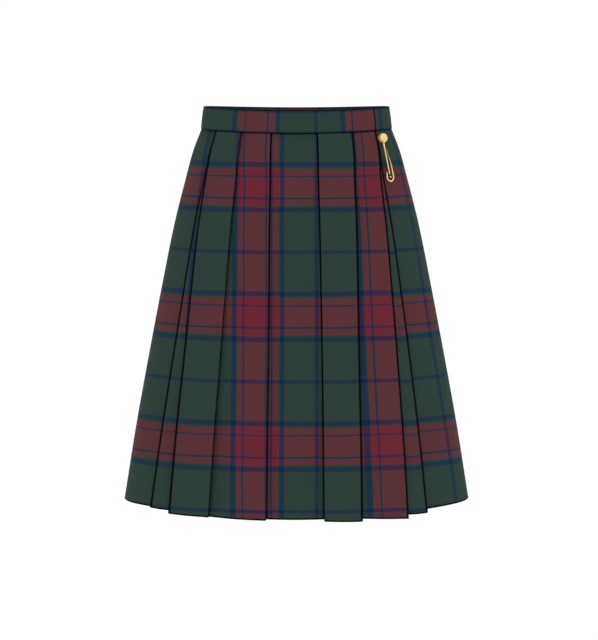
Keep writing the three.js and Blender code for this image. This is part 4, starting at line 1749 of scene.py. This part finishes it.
def end_tree(nodes: NodeTree, made: bpy.types.Node, given: bpy.types.Node, result: bpy.types.Node) -> None:
    """Ends a tree with plain geometry in its material.

    Args:
        nodes: The tree.
        made: The node that makes the geometry.
        given: The tree's input node.
        result: Its output node.
    """
    real = nodes.add("GeometryNodeRealizeInstances", {0: made.outputs[0]})
    dressing = {"Geometry": real.outputs[0], "Material": given.outputs["Material"]}
    dressed = nodes.add("GeometryNodeSetMaterial", dressing)
    nodes.tree.links.new(dressed.outputs[0], result.inputs[0])


class StitchTree:
    """Geometry nodes that lay short stitches along a line."""

    def __init__(self) -> None:
        """Builds the tree."""
        self.tree, nodes, given, result, self.identifiers = geometry_tree(
            "row_of_stitches",
            {
                "Spacing": ("NodeSocketFloat", 0.003),
                "Stitch Length": ("NodeSocketFloat", 0.002),
                "Thread Radius": ("NodeSocketFloat", 0.0002),
                "Material": ("NodeSocketMaterial", None),
            },
        )
        even = nodes.add(
            "GeometryNodeResampleCurve",
            {"Curve": given.outputs["Geometry"], "Length": given.outputs["Spacing"]},
            mode="LENGTH",
        )
        bead = nodes.add("GeometryNodeMeshIcoSphere", {"Radius": 1.0, "Subdivisions": 1})
        half = nodes.math("MULTIPLY", given.outputs["Stitch Length"], 0.5)
        radius = given.outputs["Thread Radius"]
        size = nodes.add("ShaderNodeCombineXYZ", {0: radius, 1: radius, 2: half})
        tangent = nodes.add("GeometryNodeInputTangent")
        turned = nodes.add("FunctionNodeAlignRotationToVector", {"Vector": tangent.outputs[0]}, axis="Z")
        laid = nodes.add(
            "GeometryNodeInstanceOnPoints",
            {
                "Points": even.outputs[0],
                "Instance": bead.outputs["Mesh"],
                "Rotation": turned.outputs[0],
                "Scale": size.outputs[0],
            },
        )
        end_tree(nodes, laid, given, result)


class BarTree:
    """Geometry nodes that sweep a round bar along a line, with its ends closed."""

    def __init__(self) -> None:
        """Builds the tree."""
        self.tree, nodes, given, result, self.identifiers = geometry_tree(
            "round_bar",
            {
                "Radius": ("NodeSocketFloat", 0.001),
                "Sides": ("NodeSocketInt", 20),
                "Material": ("NodeSocketMaterial", None),
            },
        )
        section = nodes.add(
            "GeometryNodeCurvePrimitiveCircle",
            {"Resolution": given.outputs["Sides"], "Radius": given.outputs["Radius"]},
        )
        bar = nodes.add(
            "GeometryNodeCurveToMesh",
            {
                "Curve": given.outputs["Geometry"],
                "Profile Curve": section.outputs[0],
                "Fill Caps": True,
                "Scale": nodes.add("GeometryNodeInputRadius").outputs[0],
            },
        )
        smooth = nodes.add("GeometryNodeSetShadeSmooth", {"Geometry": bar.outputs[0]})
        end_tree(nodes, smooth, given, result)


def grown(
    name: str,
    lines: list[Array],
    tree: StitchTree | BarTree,
    sizes: dict[str, object],
    radii: Array | None = None,
) -> bpy.types.Object:
    """Runs a geometry tree on lines and keeps the result as a plain mesh.

    Args:
        name: The piece's name.
        lines: Lines in metres.
        tree: The tree to run.
        sizes: Values for its named inputs.
        radii: Scale of the section at each point of the lines, if it varies.

    Returns:
        The object, with no modifier.
    """
    curve = bpy.data.curves.new(f"{name}_line", "CURVE")
    curve.dimensions = "3D"
    for line in lines:
        spline = curve.splines.new("POLY")
        spline.points.add(len(line) - 1)
        for at, (point, place) in enumerate(zip(spline.points, line)):
            point.co = (*place, 1.0)
            point.radius = 1.0 if radii is None else float(radii[at])
    source = link(bpy.data.objects.new(f"{name}_source", curve))
    modifier = source.modifiers.new("grow", "NODES")
    modifier.node_group = tree.tree
    for label, value in sizes.items():
        modifier[tree.identifiers[label]] = value
    bpy.context.view_layer.update()
    evaluated = source.evaluated_get(bpy.context.evaluated_depsgraph_get())
    mesh = bpy.data.meshes.new_from_object(evaluated)
    source.modifiers.remove(modifier)
    bpy.data.objects.remove(source)
    mesh.name = name
    return link(bpy.data.objects.new(name, mesh))


# ---------------- sewing


@dataclass
class Sewing:
    """Stitches that hold the turned-up hem and the foot of the band on the wrong side."""

    spacing: float = 6.5
    length: float = 3.2
    radius: float = 0.28
    piece: bpy.types.Object | None = None

    def build(self, tree: StitchTree, lines: list[Array], material: bpy.types.Material) -> None:
        """Lays the stitches.

        Args:
            tree: The geometry nodes that lay them.
            lines: The lines that they follow, in millimetres.
            material: Their finish.
        """
        sizes = {
            "Spacing": self.spacing * MM,
            "Stitch Length": self.length * MM,
            "Thread Radius": self.radius * MM,
            "Material": material,
        }
        self.piece = grown("sewing_stitches", [line * MM for line in lines], tree, sizes)

    def dress(self) -> None:
        """Fixes the stitches to the garment."""
        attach(self.piece, ROOT)
        log.info("%s: %d faces", self.piece.name, len(self.piece.data.polygons))


# ---------------- the kilt pin


@dataclass
class KiltPin:
    """The fastened pin: a round head, a straight arm, a looped wire, and a plate with a stud in the loop."""

    cloth: PleatedCloth
    panel: int = 1  # the panel that it lies on
    head_turn: float = 57.2
    head_down: float = 0.0189
    head_diameter: float = 13.6
    head_clear: float = 3.0  # between the head and the cloth
    head_rim: float = 0.98  # widest of the head, as a share of the ball's radius
    head_angles: tuple[float, float] = (0.12, 0.03)  # radians of the ball cut flat, at its back and front
    head_rows: int = 30
    loop_turn: float = 59.3
    loop_down: float = 0.1227
    loop_radius: float = 5.9
    loop_points: int = 13
    turned_forward: float = 8.0  # degrees that the pin's right side is turned to the front
    arm_diameter: float = 2.2
    arm_share: float = 0.92  # the arm's own thickness, as a share of that
    arm_end: tuple[float, float, float] = (-1.2, 3.9, 1.15)
    arm_in_head: float = 0.3
    arm_steps: int = 24
    arm_taper: float = 0.1  # share of its thickness that the arm loses to its end
    collar: float = 0.35  # how much thicker the arm is just under the head
    collar_step: float = 1.0
    collar_spread: float = 2.0  # steps
    bar_sides: int = 24
    wire_diameter: float = 2.2
    wire_steps: int = 10  # between two of its knots
    wire_bow: tuple[float, float] = (0.2, -0.4)  # how far it bows across and in, half-way to its point
    point: tuple[float, float, float] = (5.8, 37.4, -2.6)
    point_taper: tuple[float, float] = (0.12, 0.25)  # share of the wire that tapers, and thickness at the tip
    stub: tuple[float, float, float] = (-4.6, 8.1, 0.0)
    stub_taper: tuple[float, float] = (0.02, 0.5)
    plate_thickness: float = 0.9
    plate_clear: float = 0.15  # between the plate and the wire
    plate_bevel: tuple[float, float] = (0.2, 0.15)  # across and through the plate
    stud_diameter: float = 2.6
    stud_lift: float = 0.05  # between the stud and the plate
    stud_rise: tuple[float, float] = (0.5, 0.6)  # of its side and of its dome, as shares of its radius
    stud_angle: float = 1.5  # radians of the dome
    stud_rows: int = 8
    stud_sides: int = 32
    pieces: dict[str, bpy.types.Object] = field(default_factory=dict)

    def __post_init__(self) -> None:
        """Works out the pin's own directions."""
        clear = self.cloth.wall / 2 + self.cloth.gap
        lift = self.loop_radius * math.sin(math.radians(self.turned_forward))
        head_out = clear + self.head_diameter / 2 + self.head_clear
        self.head = self.seat(self.head_turn, self.head_down, head_out)
        self.loop = self.seat(self.loop_turn, self.loop_down, clear + self.wire_diameter / 2 + lift)
        self.up = (self.head - self.loop).normalized()
        outwards = self.seat(self.loop_turn, self.loop_down, 1) - self.seat(self.loop_turn, self.loop_down, 0)
        outwards = Matrix.Rotation(-math.radians(self.turned_forward), 3, self.up) @ outwards
        self.across = self.up.cross(outwards).normalized()
        self.out = self.across.cross(self.up)

    def seat(self, turn: float, down: float, out: float) -> Vector:
        """Finds a point out from the panel that the pin lies on.

        Args:
            turn: Degrees round from the front.
            down: Share of the way to the hem.
            out: Distance out from the middle of the cloth.

        Returns:
            The point.
        """
        cloth, level = self.cloth, self.cloth.level(down)
        depth = cloth.depth(self.panel, turn, level)
        seam, foot = cloth.form.seam_height(turn), cloth.form.hem_height(turn)
        height = float(seam + (foot - seam) * down)
        return Vector(cloth.form.place(turn, level.half, height, out - depth * level.pitch, 0.0))

    def at(self, across: float, up: float, out: float = 0.0) -> Vector:
        """A point given in the pin's own directions from the loop's middle."""
        return self.loop + self.across * across + self.up * up + self.out * out

    def turned(self, name: str, profile: list[tuple[float, float]], middle: Vector, sides: int = 48) -> None:
        """Turns a profile round the pin's outward direction into a closed piece.

        Args:
            name: The piece's name.
            profile: Radius and height of each of its rings, from the back to the front.
            middle: The point from which heights count.
            sides: Points in a ring.
        """
        points, faces = [], []
        for radius, height in profile:
            for side in range(sides):
                angle = math.tau * side / sides
                offset = self.across * math.cos(angle) * radius + self.up * math.sin(angle) * radius
                points.append((middle + offset + self.out * height) * MM)
        rows = len(profile)
        for row in range(rows - 1):
            for side in range(sides):
                after = (side + 1) % sides
                a, b = row * sides, (row + 1) * sides
                faces.append((a + side, a + after, b + after, b + side))
        faces.append(tuple(reversed(range(sides))))
        faces.append(tuple((rows - 1) * sides + side for side in range(sides)))
        self.pieces[name] = mesh_object(name, np.array(points), faces)

    def line(self, points: list[Vector], steps: int) -> Array:
        """Draws a smooth line through points.

        Args:
            points: The points.
            steps: Steps between two of them.

        Returns:
            The line, in metres.
        """
        knots = [points[0] * 2 - points[1], *points, points[-1] * 2 - points[-2]]
        line = []
        for a, b, c, d in zip(knots, knots[1:], knots[2:], knots[3:]):
            for step in range(steps):
                t = step / steps
                square, cube = 2 * a - 5 * b + 4 * c - d, 3 * b - a - 3 * c + d
                line.append(0.5 * (2 * b + (c - a) * t + square * t * t + cube * t**3))
        line.append(points[-1])
        return np.array([tuple(point * MM) for point in line])

    def build(self, bars: BarTree, gilt: bpy.types.Material) -> None:
        """Builds the pin's pieces.

        Args:
            bars: The geometry nodes that sweep a bar.
            gilt: The finish of the arm and the wire.
        """
        self.build_head()
        self.build_arm(bars, gilt)
        self.build_wire(bars, gilt)
        self.build_plate()
        self.build_stud()

    def build_head(self) -> None:
        """Builds the head, a ball with a narrow flat rim."""
        radius = self.head_diameter / 2
        rim = radius * self.head_rim
        back, front = self.head_angles
        angles = np.linspace(back, math.pi - front, self.head_rows)
        ball = [(radius * math.sin(a), -radius * math.cos(a)) for a in angles]
        self.turned("kilt_pin_head", [(min(r, rim), h) for r, h in ball], self.head)

    def build_arm(self, bars: BarTree, gilt: bpy.types.Material) -> None:
        """Builds the straight arm, with a collar under the head.

        Args:
            bars: The geometry nodes that sweep a bar.
            gilt: Its finish.
        """
        start = self.head - self.up * (self.head_diameter / 2 - self.arm_in_head)
        end = self.at(*self.arm_end)
        count = self.arm_steps
        line = np.array([tuple(start.lerp(end, step / count) * MM) for step in range(count + 1)])
        steps = np.arange(count + 1)
        far = (steps - self.collar_step) / self.collar_spread
        collar = self.collar * np.array([math.exp(-(share**2)) for share in far])
        radius = self.arm_diameter / 2 * MM * self.arm_share
        sizes = {"Radius": radius, "Sides": self.bar_sides, "Material": gilt}
        swell = 1.0 + collar - self.arm_taper * steps / count
        self.pieces["kilt_pin_arm"] = grown("kilt_pin_arm", [line], bars, sizes, swell)

    def build_wire(self, bars: BarTree, gilt: bpy.types.Material) -> None:
        """Builds the wire, from its point down to the loop and round it to its short end.

        Args:
            bars: The geometry nodes that sweep a bar.
            gilt: Its finish.
        """
        loop = self.loop_radius
        angles = np.linspace(0, math.pi, self.loop_points)
        arc = [self.at(loop * math.cos(a), -loop * math.sin(a)) for a in angles]
        across, inwards = self.wire_bow
        side = self.at(loop + across, self.point[1] / 2, inwards)
        knots = [self.at(*self.point), side, self.at(loop, loop), *arc, self.at(*self.stub)]
        wire = self.line(knots, self.wire_steps)
        along = np.linspace(0, 1, len(wire))
        point_share, point_least = self.point_taper
        stub_share, stub_least = self.stub_taper
        taper = np.clip(along / point_share, point_least, 1.0)
        taper = taper * np.clip((1 - along) / stub_share, stub_least, 1.0)
        sizes = {"Radius": self.wire_diameter / 2 * MM, "Sides": self.bar_sides, "Material": gilt}
        self.pieces["kilt_pin_wire"] = grown("kilt_pin_wire", [wire], bars, sizes, taper)

    def build_plate(self) -> None:
        """Builds the plate inside the loop, with bevelled rims."""
        radius = self.loop_radius - self.wire_diameter / 2 - self.plate_clear
        across, through = self.plate_bevel
        back = -self.plate_thickness
        profile = [
            (radius - across, back),
            (radius, back + through),
            (radius, -through),
            (radius - across, 0.0),
        ]
        self.turned("kilt_pin_plate", profile, self.at(0, 0, 0))

    def build_stud(self) -> None:
        """Builds the domed stud on the plate."""
        stud = self.stud_diameter / 2
        side, dome = self.stud_rise
        angles = np.linspace(0, self.stud_angle, self.stud_rows)
        rings = [(stud * math.cos(a), side * stud + dome * stud * math.sin(a)) for a in angles]
        self.turned("kilt_pin_stud", [(stud, 0.0), *rings], self.at(0, 0, self.stud_lift), self.stud_sides)

    def dress(self, gilt: bpy.types.Material, dark: bpy.types.Material) -> None:
        """Gives each piece its finish, fixes it to the garment and hides the CAD piece that it stands in for.

        Args:
            gilt: The finish of every piece but the plate.
            dark: The plate's finish.
        """
        for name, obj in self.pieces.items():
            is_plate = name == "kilt_pin_plate"
            if not obj.data.materials:
                obj.data.materials.append(dark if is_plate else gilt)
            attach(obj, ROOT)
            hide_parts(name.replace("kilt_", ""))
            log.info("%s: %d faces", name, len(obj.data.polygons))


# ---------------- the studio


@dataclass
class Studio:
    """Pale floor, soft light and the camera."""

    floor_height: float = -1.02  # metres: the waist of a standing wearer is that far above the floor
    floor_reach: float = 4000.0
    floor_colour: tuple[float, float, float, float] = (0.94, 0.94, 0.94, 1.0)
    floor_roughness: float = 0.9
    lens: float = 288.7
    sensor: float = 36.0
    camera_place: tuple[float, float, float] = (0.0034, -7.0, 0.170)
    camera_tilt: float = 3.65  # degrees down
    camera_reach: float = 10000.0
    world_strength: float = 1.0
    suns: tuple[tuple[float, float, float, float], ...] = (
        # strength, degrees round from the front, degrees up, spread in degrees
        (0.3, -8.0, 45.0, 40.0),
        (0.16, 40.0, 32.0, 60.0),
    )

    def build(self) -> None:
        """Builds the floor, the lights and the camera."""
        scene = bpy.context.scene
        self.floor()
        world = bpy.data.worlds.new("studio")
        world.use_nodes = True
        background = world.node_tree.nodes["Background"]
        background.inputs["Color"].default_value = WHITE
        background.inputs["Strength"].default_value = self.world_strength
        scene.world = world
        for strength, azimuth, elevation, spread in self.suns:
            self.sun(strength, azimuth, elevation, spread)
        self.camera()
        scene.view_settings.view_transform = "Standard"
        scene.view_settings.look = "None"

    def floor(self) -> None:
        """Builds a plain pale floor."""
        reach = self.floor_reach
        corners = [(-reach, -reach), (reach, -reach), (reach, reach), (-reach, reach)]
        points = np.array([(x, y, self.floor_height) for x, y in corners])
        floor = mesh_object("studio_floor", points, [(0, 1, 2, 3)])
        material, _, shader = new_material("pale_floor")
        shader.inputs["Base Color"].default_value = self.floor_colour
        shader.inputs["Roughness"].default_value = self.floor_roughness
        shader.inputs["Specular IOR Level"].default_value = 0.0
        floor.data.materials.append(material)

    def sun(self, strength: float, azimuth: float, elevation: float, spread: float) -> None:
        """Builds a broad soft light.

        Args:
            strength: Its strength.
            azimuth: Degrees round from the front at which it stands.
            elevation: Degrees up.
            spread: Its width, in degrees.
        """
        light = bpy.data.lights.new("soft_light", "SUN")
        light.energy = strength
        light.angle = math.radians(spread)
        obj = link(bpy.data.objects.new("soft_light", light))
        angle, up = math.radians(azimuth), math.radians(elevation)
        source = Vector((math.sin(angle) * math.cos(up), -math.cos(angle) * math.cos(up), math.sin(up)))
        obj.rotation_mode = "QUATERNION"
        obj.rotation_quaternion = source.to_track_quat("Z", "Y")

    def camera(self) -> None:
        """Builds the camera, which looks along +Y and slightly down."""
        camera = bpy.data.cameras.new("camera")
        camera.lens = self.lens
        camera.sensor_width = self.sensor
        camera.clip_end = self.camera_reach
        obj = link(bpy.data.objects.new("camera", camera))
        obj.location = self.camera_place
        obj.rotation_euler = (math.radians(90.0 - self.camera_tilt), 0.0, 0.0)
        bpy.context.scene.camera = obj


def main() -> None:
    """Builds the skirt, the pin and the studio, in order."""
    logging.basicConfig(level=logging.INFO, format="%(name)s: %(message)s")
    groups = Groups()
    tartan = TartanFinish("tartan_cloth", WARP, WEFT).material(groups)
    band_tartan = TartanFinish("tartan_band", BAND_WARP, BAND_WEFT).material(groups)
    thread = ThreadFinish().material(groups)
    gilt, dark = GILT.material(), DARK_STEEL.material()
    cloth = PleatedCloth()
    cloth.build()
    band = Waistband()
    band.build()
    cloth.dress(tartan)
    band.dress(band_tartan)
    sewing = Sewing()
    sewing.build(StitchTree(), [*cloth.hem_lines, band.inside_foot], thread)
    sewing.dress()
    pin = KiltPin(cloth)
    pin.build(BarTree(), gilt)
    pin.dress(gilt, dark)
    Studio().build()


if __name__ == "__main__":
    main()
